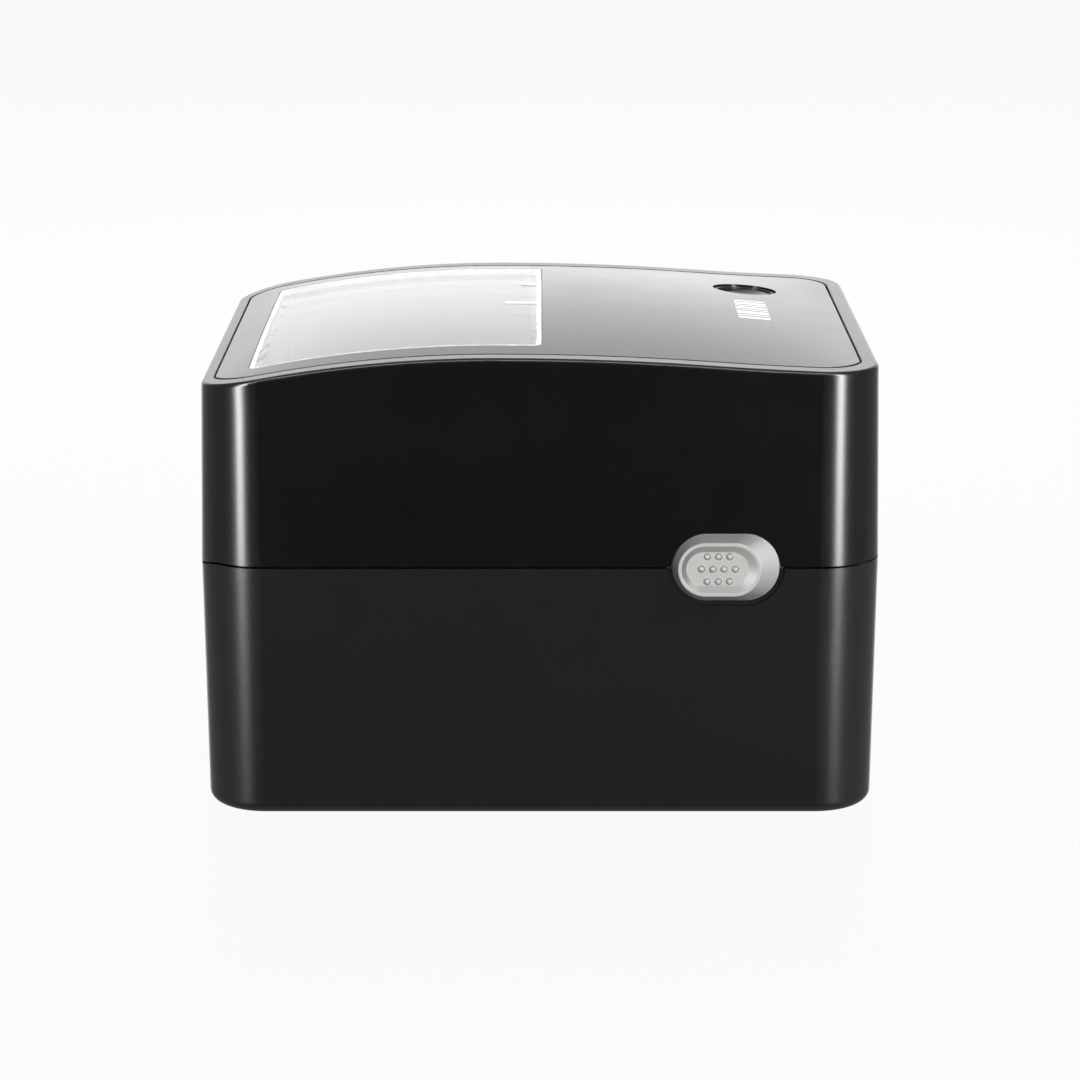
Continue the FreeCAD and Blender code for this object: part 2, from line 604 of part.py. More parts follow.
# ---------------------------------------------------------------- tray
TRAY_HALF_X, TRAY_Y0, TRAY_Y1 = 83.8, -102.5, 90.0
GUIDE_FLOOR = (-70.5, -44.0, 60.0, 62.0)        # Y and Z spans of the floor under the racks
PINION_POST_R = 6.0
GEAR_BAY = (67.5, 75.5, -99.5, -72.5)           # X and Y spans of the opening for the gears
PLATE_SCREWS = ((-99.4, 64.5), (-68.0, 66.0))   # Y and Z on the cheek


SPRING_SEAT_X = 77.0
SPRING_SHIFT_Y = 10.2    # the return spring sits behind the button's centre


def spring_seat():
    """Column that carries the release button's return spring."""
    half_w = 3.8
    y_mid = RELEASE_Y + SPRING_SHIFT_Y
    return box(LATCH_POST_X, SPRING_SEAT_X, y_mid - half_w, y_mid + half_w, 58, 84)


def media_tray():
    """Base insert: roll cradle, deck, platen cheeks and the guide channel."""
    deck = rounded_prism(TRAY_HALF_X, TRAY_Y0, TRAY_Y1, INSERT_CORNER_R, DECK_Z0, DECK_Z1)
    out_r = BAY_R + SHELL_T
    half_x = BAY_HALF_X + SHELL_T
    cradle = fuse(rod_x(-half_x, half_x, ROLL_Y, ROLL_Z, out_r),
                  box(-half_x, half_x, ROLL_Y - out_r, ROLL_Y + out_r, ROLL_Z, DECK_Z1))
    cradle = cradle.common(box(-half_x, half_x, -LENGTH, LENGTH, 0, DECK_Z1))
    cheek = box(CHEEK_X0, CHEEK_X1, -102.0, -65.0, 61.0, 82.0)
    solids = [deck, cradle, cheek, mirrored(cheek)]
    for s in (-1, 1):
        tab_x = s * TRAY_SCREW_X
        solids.append(box(tab_x - 5, tab_x + 5, 80, 100, TRAY_TAB_Z0, TRAY_TAB_Z1))
        post = box(LATCH_POST_X, LATCH_LEAF_X - 0.1, RELEASE_Y - 8, RELEASE_Y + 14, 58, 70)
        link = box(CHEEK_X1 - 1, LATCH_POST_X + 1, RELEASE_Y - 5.5, RELEASE_Y + 14, 58, 60)
        for shape in (post, link, spring_seat()):
            solids.append(shape if s > 0 else mirrored(shape))
    y0, y1, z0, z1 = GUIDE_FLOOR
    solids.append(rod_z(z1, 65.6, 0, GUIDE_PINION_Y, PINION_POST_R))
    solids.append(box(-CHEEK_X1, CHEEK_X1, y0, y1, z0, z1))
    end_wall = box(BAY_HALF_X + 0.1, CHEEK_X1, y0, y1, z0, DECK_Z1)
    solids += [end_wall, mirrored(end_wall)]
    tray = fuse(*solids)
    tools = [
        rod_x(-BAY_HALF_X, BAY_HALF_X, ROLL_Y, ROLL_Z, BAY_R),
        box(-BAY_HALF_X, BAY_HALF_X, ROLL_Y - BAY_R, ROLL_Y + BAY_R, ROLL_Z, 100),
        box(-CHEEK_X0, CHEEK_X0, -95.5, -76.0, 60, 100),
        box(-BAY_HALF_X, BAY_HALF_X, -47, -40, 69.0, 77.2),
        box(-6.2, 6.2, -75.6, -70.4, 70, 100),
        box(-FANFOLD_HALF_X, FANFOLD_HALF_X, 80, 100, FANFOLD_Z0, FANFOLD_Z1),
        rod_z(60, 66, 0, GUIDE_PINION_Y, SMALL_PILOT_R),
        box(*GEAR_BAY, 50, 100),
    ]
    for s in (-1, 1):
        x0, x1 = sorted((s * CHEEK_X0 - s, s * CHEEK_X1 + s))
        tools.append(rod_x(x0, x1, PLATEN_Y, PLATEN_Z, 4.5))
        clear = box(LATCH_POST_X, 90, RELEASE_Y - 21, RELEASE_Y + 21, 70, 100).cut(spring_seat())
        tools.append(clear if s > 0 else mirrored(clear))
        tools += [rod_z(50, 100, s * TRAY_SCREW_X, y, CLEAR_R) for y in (TRAY_FRONT_Y, TRAY_REAR_Y)]
        screw_hole = rod_x(LATCH_POST_X + 0.2, 80, RELEASE_Y, LATCH_SCREW_Z, PILOT_R)
        tools.append(screw_hole if s > 0 else mirrored(screw_hole))
    tools += [rod_x(CHEEK_X0, CHEEK_X1, y, z, PILOT_R) for y, z in PLATE_SCREWS]
    return tray.cut(tools)


def gap_sensor():
    body = box(-6, 6, -75.4, -70.6, 74, 80.3)
    slit = box(-1.2, 1.2, -74.2, -71.8, 79.3, 81)
    return body.cut(slit)


def tear_bar():
    """Folded steel strip with a serrated edge in front of the platen."""
    half, thick = 58.0, 0.8
    blade_y = -103.4
    pitch, depth, top = 2.0, 1.2, 85.4
    base = box(-half, half, blade_y, -95.8, DECK_Z1, DECK_Z1 + thick)
    count = int(2 * half / pitch)
    points = [V(-half, blade_y, DECK_Z1), V(-half, blade_y, top - depth)]
    for i in range(count):
        x = -half + pitch * i
        points.append(V(x + pitch / 2, blade_y, top))
        points.append(V(x + pitch, blade_y, top - depth))
    points += [V(half, blade_y, DECK_Z1), points[0]]
    blade = Part.Face(Part.makePolygon(points)).extrude(V(0, thick, 0))
    bar = fuse(base, blade)
    return bar.cut([rod_z(79, 82, s * TRAY_SCREW_X, TRAY_FRONT_Y, CLEAR_R) for s in (-1, 1)])


# ---------------------------------------------------------------- gears
def gear_outline(teeth, module, phase_deg):
    """Closed wire of an involute spur gear about the origin, in the XY plane."""
    pitch_r = module * teeth / 2
    base_r = pitch_r * math.cos(math.radians(PRESSURE_ANGLE))
    tip_r = pitch_r + ADDENDUM * module
    root_r = pitch_r - DEDENDUM * module

    def involute_angle(r):
        cosine = min(1.0, base_r / r)
        return math.tan(math.acos(cosine)) - math.acos(cosine)

    half_tooth = math.pi / (2 * teeth) - BACKLASH / (4 * pitch_r) + involute_angle(pitch_r)

    def point(r, angle):
        return V(r * math.cos(angle), r * math.sin(angle), 0)

    start_r = max(base_r, root_r)
    edges = []
    step = 2 * math.pi / teeth
    for i in range(teeth):
        mid = math.radians(phase_deg) + i * step
        flank_mid_r = (start_r + tip_r) / 2
        rise = [(r, half_tooth - involute_angle(r)) for r in (start_r, flank_mid_r, tip_r)]
        left = [point(r, mid - a) for r, a in rise]
        right = [point(r, mid + a) for r, a in reversed(rise)]
        root_in = point(root_r, mid - half_tooth)
        root_out = point(root_r, mid + half_tooth)
        next_root = point(root_r, mid + step - half_tooth)
        edges.append(Part.makeLine(root_in, left[0]))
        edges.append(Part.Arc(*left).toShape())
        edges.append(Part.Arc(left[2], point(tip_r, mid), right[0]).toShape())
        edges.append(Part.Arc(*right).toShape())
        edges.append(Part.makeLine(right[2], root_out))
        edges.append(Part.Arc(root_out, point(root_r, mid + step / 2), next_root).toShape())
    return Part.Wire(edges)


def gear_x(teeth, x0, x1, y, z, phase_deg, bore_r):
    """Spur gear on an X axis; phase_deg is a tooth's direction from +Y towards +Z."""
    gear = Part.Face(gear_outline(teeth, GEAR_MODULE, phase_deg)).extrude(V(0, 0, x1 - x0))
    to_x_axis = FreeCAD.Matrix(0, 0, 1, x0, 1, 0, 0, y, 0, 1, 0, z, 0, 0, 0, 1)
    gear = gear.transformShape(to_x_axis)
    return gear.cut(rod_x(x0 - 1, x1 + 1, y, z, bore_r))


def direction(y0, z0, y1, z1):
    return math.degrees(math.atan2(z1 - z0, y1 - y0))


PLATEN_TO_IDLER = direction(PLATEN_Y, PLATEN_Z, IDLER_Y, IDLER_Z)
IDLER_TO_MOTOR = direction(IDLER_Y, IDLER_Z, MOTOR_Y, MOTOR_Z)


def platen_gear():
    return gear_x(PLATEN_TEETH, 69, 74, PLATEN_Y, PLATEN_Z, PLATEN_TO_IDLER, JOURNAL_R)


def idler_gear():
    """Compound gear: its small wheel drives the platen and its big wheel meets the motor pinion."""
    bore = IDLER_PIN_R + RUN
    gap_phase = PLATEN_TO_IDLER + 180 + 180 / IDLER_SMALL_TEETH
    small = gear_x(IDLER_SMALL_TEETH, 68.2, 75.0, IDLER_Y, IDLER_Z, gap_phase, bore)
    big = gear_x(IDLER_BIG_TEETH, 74.8, 78.8, IDLER_Y, IDLER_Z, IDLER_TO_MOTOR, bore)
    return fuse(small, big)


def motor_pinion():
    gap_phase = IDLER_TO_MOTOR + 180 + 180 / MOTOR_TEETH
    return gear_x(MOTOR_TEETH, 74.2, 79.2, MOTOR_Y, MOTOR_Z, gap_phase, MOTOR_SHAFT_R)


# ---------------------------------------------------------------- platen and drive
def platen_shaft():
    core = rod_x(-PLATEN_HALF_X, PLATEN_HALF_X, PLATEN_Y, PLATEN_Z, PLATEN_CORE_R)
    journals = rod_x(-66.4, 74.3, PLATEN_Y, PLATEN_Z, JOURNAL_R)
    return fuse(core, journals)


def platen_rubber():
    tube = rod_x(-PLATEN_HALF_X, PLATEN_HALF_X, PLATEN_Y, PLATEN_Z, PLATEN_R)
    return tube.cut(rod_x(-60, 60, PLATEN_Y, PLATEN_Z, PLATEN_CORE_R))


def platen_bushes():
    barrel = rod_x(CHEEK_X0, CHEEK_X1, PLATEN_Y, PLATEN_Z, 4.48)
    flange = rod_x(CHEEK_X0 - 0.8, CHEEK_X0, PLATEN_Y, PLATEN_Z, 5.4)
    bush = fuse(barrel, flange).cut(rod_x(60, 67, PLATEN_Y, PLATEN_Z, JOURNAL_R + RUN))
    return both_sides(bush)


MOTOR_EAR_REACH = 21.0
MOTOR_BOSS_R = 5.0


def stepper_motor():
    can = rod_x(MOTOR_X0, MOTOR_X1, MOTOR_Y, MOTOR_Z, MOTOR_R)
    can = can.makeFillet(1.0, [e for e in can.Edges if len(e.Vertexes) == 1])
    flange = box(MOTOR_X1 - 1.2, MOTOR_X1 + 1.2, MOTOR_Y - 25, MOTOR_Y + 25, MOTOR_Z - 5, MOTOR_Z + 5)
    boss = rod_x(MOTOR_X1, PLATE_X1, MOTOR_Y, MOTOR_Z, MOTOR_BOSS_R)
    plug = box(MOTOR_X0 + 2, MOTOR_X0 + 14, MOTOR_Y - 8, MOTOR_Y + 8,
               MOTOR_Z - MOTOR_R - 3, MOTOR_Z - MOTOR_R + 3)
    motor = fuse(can, flange, boss, plug)
    tools = [rod_x(45.5, 70, MOTOR_Y, MOTOR_Z, MOTOR_SHAFT_R + RUN)]
    for s in (-1, 1):
        tools.append(rod_x(62, 68, MOTOR_Y + s * MOTOR_EAR_REACH, MOTOR_Z, 1.3))
    return motor.cut(tools)


def motor_shaft():
    return rod_x(46, 79.5, MOTOR_Y, MOTOR_Z, MOTOR_SHAFT_R)


def gear_plate():
    outline = ((-101.5, 61.5), (-101.5, 70.0), (-92.0, 70.0), (-92.0, 66.5), (-80.0, 66.5), (-64.5, 72.0),
               (-64.5, 50.0), (-46.0, 46.0), (-46.0, 33.0), (-98.0, 33.0), (-98.0, 52.0))
    plate = yz_polygon(outline, PLATE_X0, PLATE_X1)
    tools = [rod_x(65, 69, MOTOR_Y, MOTOR_Z, MOTOR_BOSS_R + 0.05),
             rod_x(65, 69, IDLER_Y, IDLER_Z, IDLER_PIN_R)]
    tools += [rod_x(65, 69, y, z, 1.6) for y, z in PLATE_SCREWS]
    tools += [rod_x(65, 69, MOTOR_Y + s * MOTOR_EAR_REACH, MOTOR_Z, 1.6) for s in (-1, 1)]
    return plate.cut(tools)


def plate_screws():
    """Two screws into the tray cheek and two into the motor flange."""
    screws = []
    spots = [(y, z, 5.2) for y, z in PLATE_SCREWS]
    spots += [(MOTOR_Y + s * MOTOR_EAR_REACH, MOTOR_Z, 2.6) for s in (-1, 1)]
    for y, z, length in spots:
        shank = rod_x(PLATE_X1 - length, PLATE_X1, y, z, 1.2)
        head = rod_x(PLATE_X1, PLATE_X1 + 1.4, y, z, 2.3)
        slot = box(PLATE_X1 + 0.8, PLATE_X1 + 2, y - 2.5, y + 2.5, z - 0.3, z + 0.3)
        screws.append(fuse(shank, head).cut(slot))
    return Part.makeCompound(screws)


def idler_pin():
    shank = rod_x(PLATE_X0, 79.2, IDLER_Y, IDLER_Z, IDLER_PIN_R)
    return fuse(shank, rod_x(79.1, 80.1, IDLER_Y, IDLER_Z, 3.2))


# ---------------------------------------------------------------- media guides
FOOT_BAR = (-68.0, -34.0, 71.0, 76.6)
GUIDE_DISC_R = 31.0
GUIDE_HOLE_R, GUIDE_HOLE_RING_R = 5.0, 21.5
RACK_BACK_Y = (-46.5, -68.0)                    # backs of the right and left racks


def rack(y_pitch, tooth_side, x0, x1, back_y):
    """Straight rack along X. tooth_side is +1 for teeth towards +Y; a gap is centred on X = 0."""
    pitch = math.pi * GUIDE_MODULE
    slope = math.tan(math.radians(PRESSURE_ANGLE))
    add, ded = ADDENDUM * GUIDE_MODULE, DEDENDUM * GUIDE_MODULE
    tip_y = y_pitch + tooth_side * add
    root_y = y_pitch - tooth_side * ded
    half = pitch / 4 - BACKLASH / 4
    first = math.ceil(x0 / pitch)
    last = math.floor(x1 / pitch) - 1
    points = [V(x0, back_y, 0), V(x0, root_y, 0)]
    for i in range(first, last + 1):
        mid = (i + 0.5) * pitch
        root_half, tip_half = half + ded * slope, half - add * slope
        points.append(V(mid - root_half, root_y, 0))
        points.append(V(mid - tip_half, tip_y, 0))
        points.append(V(mid + tip_half, tip_y, 0))
        points.append(V(mid + root_half, root_y, 0))
    points += [V(x1, root_y, 0), V(x1, back_y, 0)]
    points.append(points[0])
    bar = Part.Face(Part.makePolygon(points))
    bar.translate(V(0, 0, GUIDE_RACK_Z0))
    return bar.extrude(V(0, 0, GUIDE_RACK_Z1 - GUIDE_RACK_Z0))


def guide_plate():
    """Side guide on +X: disc round the roll axis, arm, foot bar and a stub for the hub."""
    x0, x1 = GUIDE_HALF_GAP, GUIDE_HALF_GAP + GUIDE_T
    disc = rod_x(x0, x1, ROLL_Y, ROLL_Z, GUIDE_DISC_R)
    arm = yz_polygon(((-44.2, 69.5), (ROLL_Y - 20, 54), (ROLL_Y, 100), (-30, 86), (-44.2, 77.0)), x0, x1)
    leg = yz_polygon(((ROLL_Y - 22, 60), (ROLL_Y - 12, 16.5), (ROLL_Y + 12, 16.5), (ROLL_Y + 22, 60)), x0, x1)
    plate = fuse(disc, arm, leg)
    holes = []
    for angle in (30, 90, 150, 210, 330):
        y = ROLL_Y + GUIDE_HOLE_RING_R * math.cos(math.radians(angle))
        z = ROLL_Z + GUIDE_HOLE_RING_R * math.sin(math.radians(angle))
        holes.append(rod_x(x0 - 1, x1 + 1, y, z, GUIDE_HOLE_R))
    stub = rod_x(x0 - HUB_LEN, x0 + 1, ROLL_Y, ROLL_Z, STUB_R)
    return fuse(plate.cut(holes), stub)


def guide_right():
    _, y1, z0, z1 = FOOT_BAR
    foot = box(GUIDE_HALF_GAP - 3, GUIDE_HALF_GAP + GUIDE_T, -49.0, y1, z0, z1)
    drop = box(GUIDE_HALF_GAP - 6, GUIDE_HALF_GAP, -48.8, RACK_BACK_Y[0], GUIDE_RACK_Z0, z0 + 1)
    pitch_y = GUIDE_PINION_Y + GUIDE_MODULE * GUIDE_PINION_TEETH / 2
    return fuse(guide_plate(), foot, drop, rack(pitch_y, -1, -6.5, GUIDE_HALF_GAP - 3, RACK_BACK_Y[0]))


def guide_left():
    y0, y1, z0, z1 = FOOT_BAR
    foot = box(-GUIDE_HALF_GAP - 2.2, -GUIDE_HALF_GAP + 3, y0, y1, z0, z1)
    drop = box(-GUIDE_HALF_GAP, -GUIDE_HALF_GAP + 6, y0, -65.3, GUIDE_RACK_Z0, z0 + 1)
    pitch_y = GUIDE_PINION_Y - GUIDE_MODULE * GUIDE_PINION_TEETH / 2
    bar = rack(pitch_y, 1, -GUIDE_HALF_GAP + 3, 6.5, RACK_BACK_Y[1])
    return fuse(mirrored(guide_plate()), foot, drop, bar)


SHOULDER_R = 1.5


def guide_pinion():
    wheel = Part.Face(gear_outline(GUIDE_PINION_TEETH, GUIDE_MODULE, 90)).extrude(V(0, 0, 4))
    wheel.translate(V(0, GUIDE_PINION_Y, 66))
    return wheel.cut(rod_z(60, 75, 0, GUIDE_PINION_Y, SHOULDER_R + RUN))


def pinion_screw():
    shoulder = rod_z(65.6, 70.2, 0, GUIDE_PINION_Y, SHOULDER_R)
    thread = rod_z(62.4, 65.6, 0, GUIDE_PINION_Y, SMALL_PILOT_R)
    head = rod_z(70.2, 71.0, 0, GUIDE_PINION_Y, 2.8)
    return fuse(shoulder, thread, head)


def roll_hub(side):
    """Turning boss that carries the label core on a side guide's stub."""
    x0 = GUIDE_HALF_GAP - HUB_LEN
    x1 = GUIDE_HALF_GAP - 0.2
    body = rod_x(x0, x1, ROLL_Y, ROLL_Z, HUB_R)
    nose = [e for e in body.Edges if len(e.Vertexes) == 1 and e.BoundBox.XMax < x0 + 0.1]
    body = body.makeChamfer(1.5, nose)
    tools = [rod_x(x0 - 1, x1 + 1, ROLL_Y, ROLL_Z, STUB_R + RUN)]
    ring = rod_x(x0 - 1, x1 - 2, ROLL_Y, ROLL_Z, HUB_R - 2).cut(rod_x(x0 - 2, x1, ROLL_Y, ROLL_Z, 5.5))
    spokes = [box(x0 - 1, x1, ROLL_Y - 0.8, ROLL_Y + 0.8, ROLL_Z - HUB_R, ROLL_Z + HUB_R),
              box(x0 - 1, x1, ROLL_Y - HUB_R, ROLL_Y + HUB_R, ROLL_Z - 0.8, ROLL_Z + 0.8)]
    tools.append(ring.cut(spokes))
    hub = body.cut(tools)
    return hub if side > 0 else mirrored(hub)


# ---------------------------------------------------------------- release buttons and latches
def release_button(side):
    """Side button on +X: body, sloping flank, rimmed scoop with grip dots, inner flange and push stem."""
    surface_x = WIDTH / 2
    face_x = surface_x + RELEASE_PROUD
    face_y, face_z = RELEASE_Y + FACE_SHIFT_Y, RELEASE_Z - 0.15
    body = stadium_x(RELEASE_LEN, RELEASE_H, surface_x - 4.4, surface_x - 0.2, RELEASE_Y, RELEASE_Z)
    flank = Part.makeLoft([stadium_wire(RELEASE_LEN, RELEASE_H, surface_x - 0.2, RELEASE_Y, RELEASE_Z),
                           stadium_wire(FACE_LEN, FACE_H, face_x, face_y, face_z)], True, True)
    rim_w, floor_w, depth = 0.9, 3.2, 1.3
    scoop = Part.makeLoft([
        stadium_wire(FACE_LEN - 2 * floor_w, FACE_H - 2 * floor_w, face_x - depth, face_y + 0.6, face_z),
        stadium_wire(FACE_LEN - 2 * rim_w, FACE_H - 2 * rim_w, face_x + 0.01, face_y, face_z)], True, True)
    flange = stadium_x(RELEASE_LEN + 3, RELEASE_H + 3, surface_x - 4.3, surface_x - 2.9, RELEASE_Y, RELEASE_Z)
    stem = box(76.2, surface_x - 4.2, RELEASE_Y - 5, RELEASE_Y + 5, 76.5, 82.5)
    shell = fuse(body, flank, flange, stem).cut(scoop)
    shell = shell.makeFillet(RIM_EDGE_R, [e for e in shell.Edges if e.BoundBox.XMin > face_x - 0.05])
    dots = []
    for dz, count in DOT_ROWS:
        for i in range(count):
            y = face_y + 0.3 + (i - (count - 1) / 2) * DOT_PITCH
            ball = Part.makeSphere(DOT_R, V(face_x - depth - DOT_SINK, y, face_z + dz))
            inner_part = box(80, face_x - depth - 0.3, y - 3, y + 3, face_z + dz - 3, face_z + dz + 3)
            dots.append(ball.cut(inner_part))
    button = fuse(shell, *dots)
    return button if side > 0 else mirrored(button)


def button_spring(side):
    """Coil between the tray's seat and the button's flange."""
    wire_r, height, turns = 0.3, 6.3, 5
    start = V(SPRING_SEAT_X + 0.15 + wire_r, RELEASE_Y + SPRING_SHIFT_Y, 80)
    spring = coil(2.6, wire_r, height, turns, start, V(1, 0, 0))
    return spring if side > 0 else mirrored(spring)


def latch_spring(side):
    """Spring-steel leaf: foot on the tray post, blade, and a nose over the lid liner's edge."""
    back_x, front_x, nose_x = LATCH_LEAF_X, LATCH_LEAF_X + LATCH_T, 79.2
    y0, y1 = RELEASE_Y - LATCH_HALF_W, RELEASE_Y + LATCH_HALF_W
    low_z, top_z = LATCH_NOSE_Z, LATCH_NOSE_Z + 3.4
    blade = box(back_x, front_x, y0, y1, 61, low_z + 0.8)
    corners = ((back_x, low_z), (nose_x, low_z), (nose_x, low_z + 0.6), (front_x, top_z), (back_x, top_z))
    points = [V(x, y0, z) for x, z in corners]
    points.append(points[0])
    nose = Part.Face(Part.makePolygon(points)).extrude(V(0, y1 - y0, 0))
    leaf = fuse(blade, nose).cut(rod_x(73, 77, RELEASE_Y, LATCH_SCREW_Z, 1.4))
    return leaf if side > 0 else mirrored(leaf)


def latch_screws():
    seat_x = LATCH_LEAF_X + LATCH_T
    shank = rod_x(LATCH_POST_X + 1.2, seat_x, RELEASE_Y, LATCH_SCREW_Z, 1.15)
    head = rod_x(seat_x, seat_x + 1.4, RELEASE_Y, LATCH_SCREW_Z, 2.3)
    slot = box(seat_x + 0.8, seat_x + 2, RELEASE_Y - 0.3, RELEASE_Y + 0.3,
               LATCH_SCREW_Z - 3, LATCH_SCREW_Z + 3)
    return both_sides(fuse(shank, head).cut(slot))


# ---------------------------------------------------------------- feed button
FEED_TOP_Z = crown_z(FEED_X, FEED_Y)
SWITCH_BOARD_Z = FEED_TOP_Z - 13.0
BOARD_POST_X = 14.6


def feed_ring():
    """Light ring round the feed button, a step below the panel."""
    ring = rod_z(FEED_TOP_Z - 5.0, FEED_TOP_Z + 3, FEED_X, FEED_Y, FEED_HOLE_R - 0.1)
    ring = ring.common(under_crown(0.7))
    return ring.cut(rod_z(120, 170, FEED_X, FEED_Y, FEED_RING_IN_R))


def feed_button():
    cap = rod_z(FEED_TOP_Z - 5.6, FEED_TOP_Z + 3, FEED_X, FEED_Y, FEED_BUTTON_R).common(under_crown(1.1))
    dish_r = 34.0
    dish = Part.makeSphere(dish_r, V(FEED_X, FEED_Y, FEED_TOP_Z - 2.6 + dish_r))
    stem = rod_z(SWITCH_BOARD_Z + 5.0, FEED_TOP_Z - 3.5, FEED_X, FEED_Y, 2.5)
    stop = rod_z(FEED_TOP_Z - 6.6, FEED_TOP_Z - 5.4, FEED_X, FEED_Y, 10.2)
    return fuse(cap.cut(dish), stem, stop)


def button_board():
    board = box(FEED_X - 18, FEED_X + 18, FEED_Y - 8, FEED_Y + 8, SWITCH_BOARD_Z, SWITCH_BOARD_Z + 1.2)
    return board.cut([rod_z(120, 140, FEED_X + s * BOARD_POST_X, FEED_Y, 1.3) for s in (-1, 1)])


def tact_switch():
    z = SWITCH_BOARD_Z + 1.2
    body = box(FEED_X - 3, FEED_X + 3, FEED_Y - 3, FEED_Y + 3, z, z + 2.4)
    return fuse(body, rod_z(z + 2, z + 2.9, FEED_X, FEED_Y, 1.7))


def button_board_posts():
    """Two small posts that hang from the upper case and carry the button board."""
    posts = []
    for s in (-1, 1):
        post = rod_z(SWITCH_BOARD_Z + 1.2, 150, FEED_X + s * BOARD_POST_X, FEED_Y, 2.4)
        pilot = rod_z(120, 142, FEED_X + s * BOARD_POST_X, FEED_Y, SMALL_PILOT_R)
        posts.append(post.common(under_crown(PANEL_T + 0.4)).cut(pilot))
    return posts


def button_board_screws():
    xs = (FEED_X - BOARD_POST_X, FEED_X + BOARD_POST_X)
    return Part.makeCompound([screw(x, FEED_Y, SWITCH_BOARD_Z, 5.0, SMALL_PILOT_R, 2.0, 1.3, down=False)
                              for x in xs])


# ---------------------------------------------------------------- print head
HEAD_FRONT_Y, HEAD_REAR_Y = -95.0, -70.0
HEAD_Z0, HEAD_Z1 = 84.4, 91.0
HEAD_SPRING_SPOTS = ((-36.0, -84.0), (36.0, -84.0))


def head_heatsink():
    """Aluminium bar with cooling grooves and two ears on the head axle."""
    bar = box(-HEAD_HALF_X, HEAD_HALF_X, HEAD_FRONT_Y, HEAD_REAR_Y, HEAD_Z0, HEAD_Z1)
    tools = [box(-HEAD_HALF_X - 1, HEAD_HALF_X + 1, y, y + 1.6, HEAD_Z1 - 2.4, HEAD_Z1 + 1)
             for y in (-93.4, -90.2, -79.4, -76.2)]
    ears = []
    for s in (-1, 1):
        x0, x1 = sorted((s * 52.0, s * HEAD_HALF_X))
        ears.append(box(x0, x1, -73.0, -63.0, 88.0, 98.4))
    sink = fuse(bar.cut(tools), *ears)
    return sink.cut(rod_x(-60, 60, HEAD_PIVOT_Y, HEAD_PIVOT_Z, HEAD_AXLE_R + RUN))


def head_ceramic():
    plate = box(-54, 54, -93.0, -78.0, 83.3, HEAD_Z0)
    heater_line = box(-54, 54, PLATEN_Y - 0.7, PLATEN_Y + 0.7, 83.1, 83.4)
    return fuse(plate, heater_line)


def head_connector():
    body = box(-14, 14, -75.6, -71.2, HEAD_Z1, HEAD_Z1 + 4)
    return body.cut(box(-12.5, 12.5, -74.4, -72.4, HEAD_Z1 + 1.5, HEAD_Z1 + 5))


def head_axle():
    return rod_x(-61.9, 61.9, HEAD_PIVOT_Y, HEAD_PIVOT_Z, HEAD_AXLE_R)


def head_springs():
    height = HEAD_ROOF_Z - HEAD_Z1
    return Part.makeCompound([coil(3.2, 0.4, height - 1.0, 5, V(x, y, HEAD_Z1 + 0.5), V(0, 0, 1))
                              for x, y in HEAD_SPRING_SPOTS])


# ---------------------------------------------------------------- electronics
PORT_INNER_Y = PORT_FACE_Y - WALL
PORT_LIP_Y = PORT_FACE_Y - 0.3      # mouths of the sockets


def mainboard():
    board = box(-58, 60, 46, PORT_INNER_Y - 0.4, BOARD_Z, BOARD_Z + BOARD_T)
    holes = [rod_z(0, 30, x, y, BOARD_SCREW_R + 0.4) for x, y in BOARD_SPOTS]
    holes += [rod_z(0, 30, s * TRAY_SCREW_X, TRAY_REAR_Y, POST_R + 0.5) for s in (-1, 1)]
    return board.cut(holes)


def board_chips():
    """Plain packages; each spot is X, Y, half width, half length and height."""
    top = BOARD_Z + BOARD_T
    spots = ((-20, 70, 7, 7, 1.6), (4, 66, 9, 5, 1.8), (26, 68, 6, 6, 1.4),
             (-44, 66, 5, 8, 4.0), (44, 71, 4, 7, 5.0))
    return Part.makeCompound([box(x - a, x + a, y - b, y + b, top, top + h) for x, y, a, b, h in spots])


def board_capacitors():
    top = BOARD_Z + BOARD_T
    can_r, can_h = 5.0, 14.0
    return Part.makeCompound([rod_z(top, top + can_h, x, 84, can_r) for x in (-4, 8)])


def usb_socket():
    x0, x1 = USB_X - USB_HALF_W, USB_X + USB_HALF_W
    body = box(x0, x1, PORT_INNER_Y - 13, PORT_LIP_Y, USB_Z0, USB_Z0 + USB_H)
    mouth = box(x0 + 1.2, x1 - 1.2, PORT_INNER_Y - 6, PORT_LIP_Y + 1, USB_Z0 + 1.2, USB_Z0 + USB_H - 1.2)
    tongue = box(USB_X - 2.8, USB_X + 2.8, PORT_INNER_Y - 7, PORT_LIP_Y - 1.7,
                 USB_Z0 + 3.8, USB_Z0 + USB_H - 3.8)
    return fuse(body.cut(mouth), tongue)


def power_socket():
    x0, x1 = JACK_X - JACK_HALF_W, JACK_X + JACK_HALF_W
    body = box(x0, x1, PORT_INNER_Y - 11, PORT_INNER_Y - 0.2, USB_Z0, USB_Z0 + JACK_H)
    collar = rod_y(PORT_INNER_Y - 1, PORT_LIP_Y, JACK_X, JACK_Z, JACK_COLLAR_R)
    pin = rod_y(PORT_INNER_Y - 10, PORT_LIP_Y - 1.7, JACK_X, JACK_Z, 1.0)
    bore = rod_y(PORT_INNER_Y - 9, PORT_LIP_Y + 1, JACK_X, JACK_Z, 2.9)
    return fuse(fuse(body, collar).cut(bore), pin)


def board_screws():
    top = BOARD_Z + BOARD_T
    return Part.makeCompound([screw(x, y, top, 5.0, BOARD_SCREW_R, 2.2, 1.5) for x, y in BOARD_SPOTS])


ROCKER_PIVOT_Y = PORT_FACE_Y - 1.8
ROCKER_REST_DEG = 8.0
ROCKER_PIN_R = 0.95


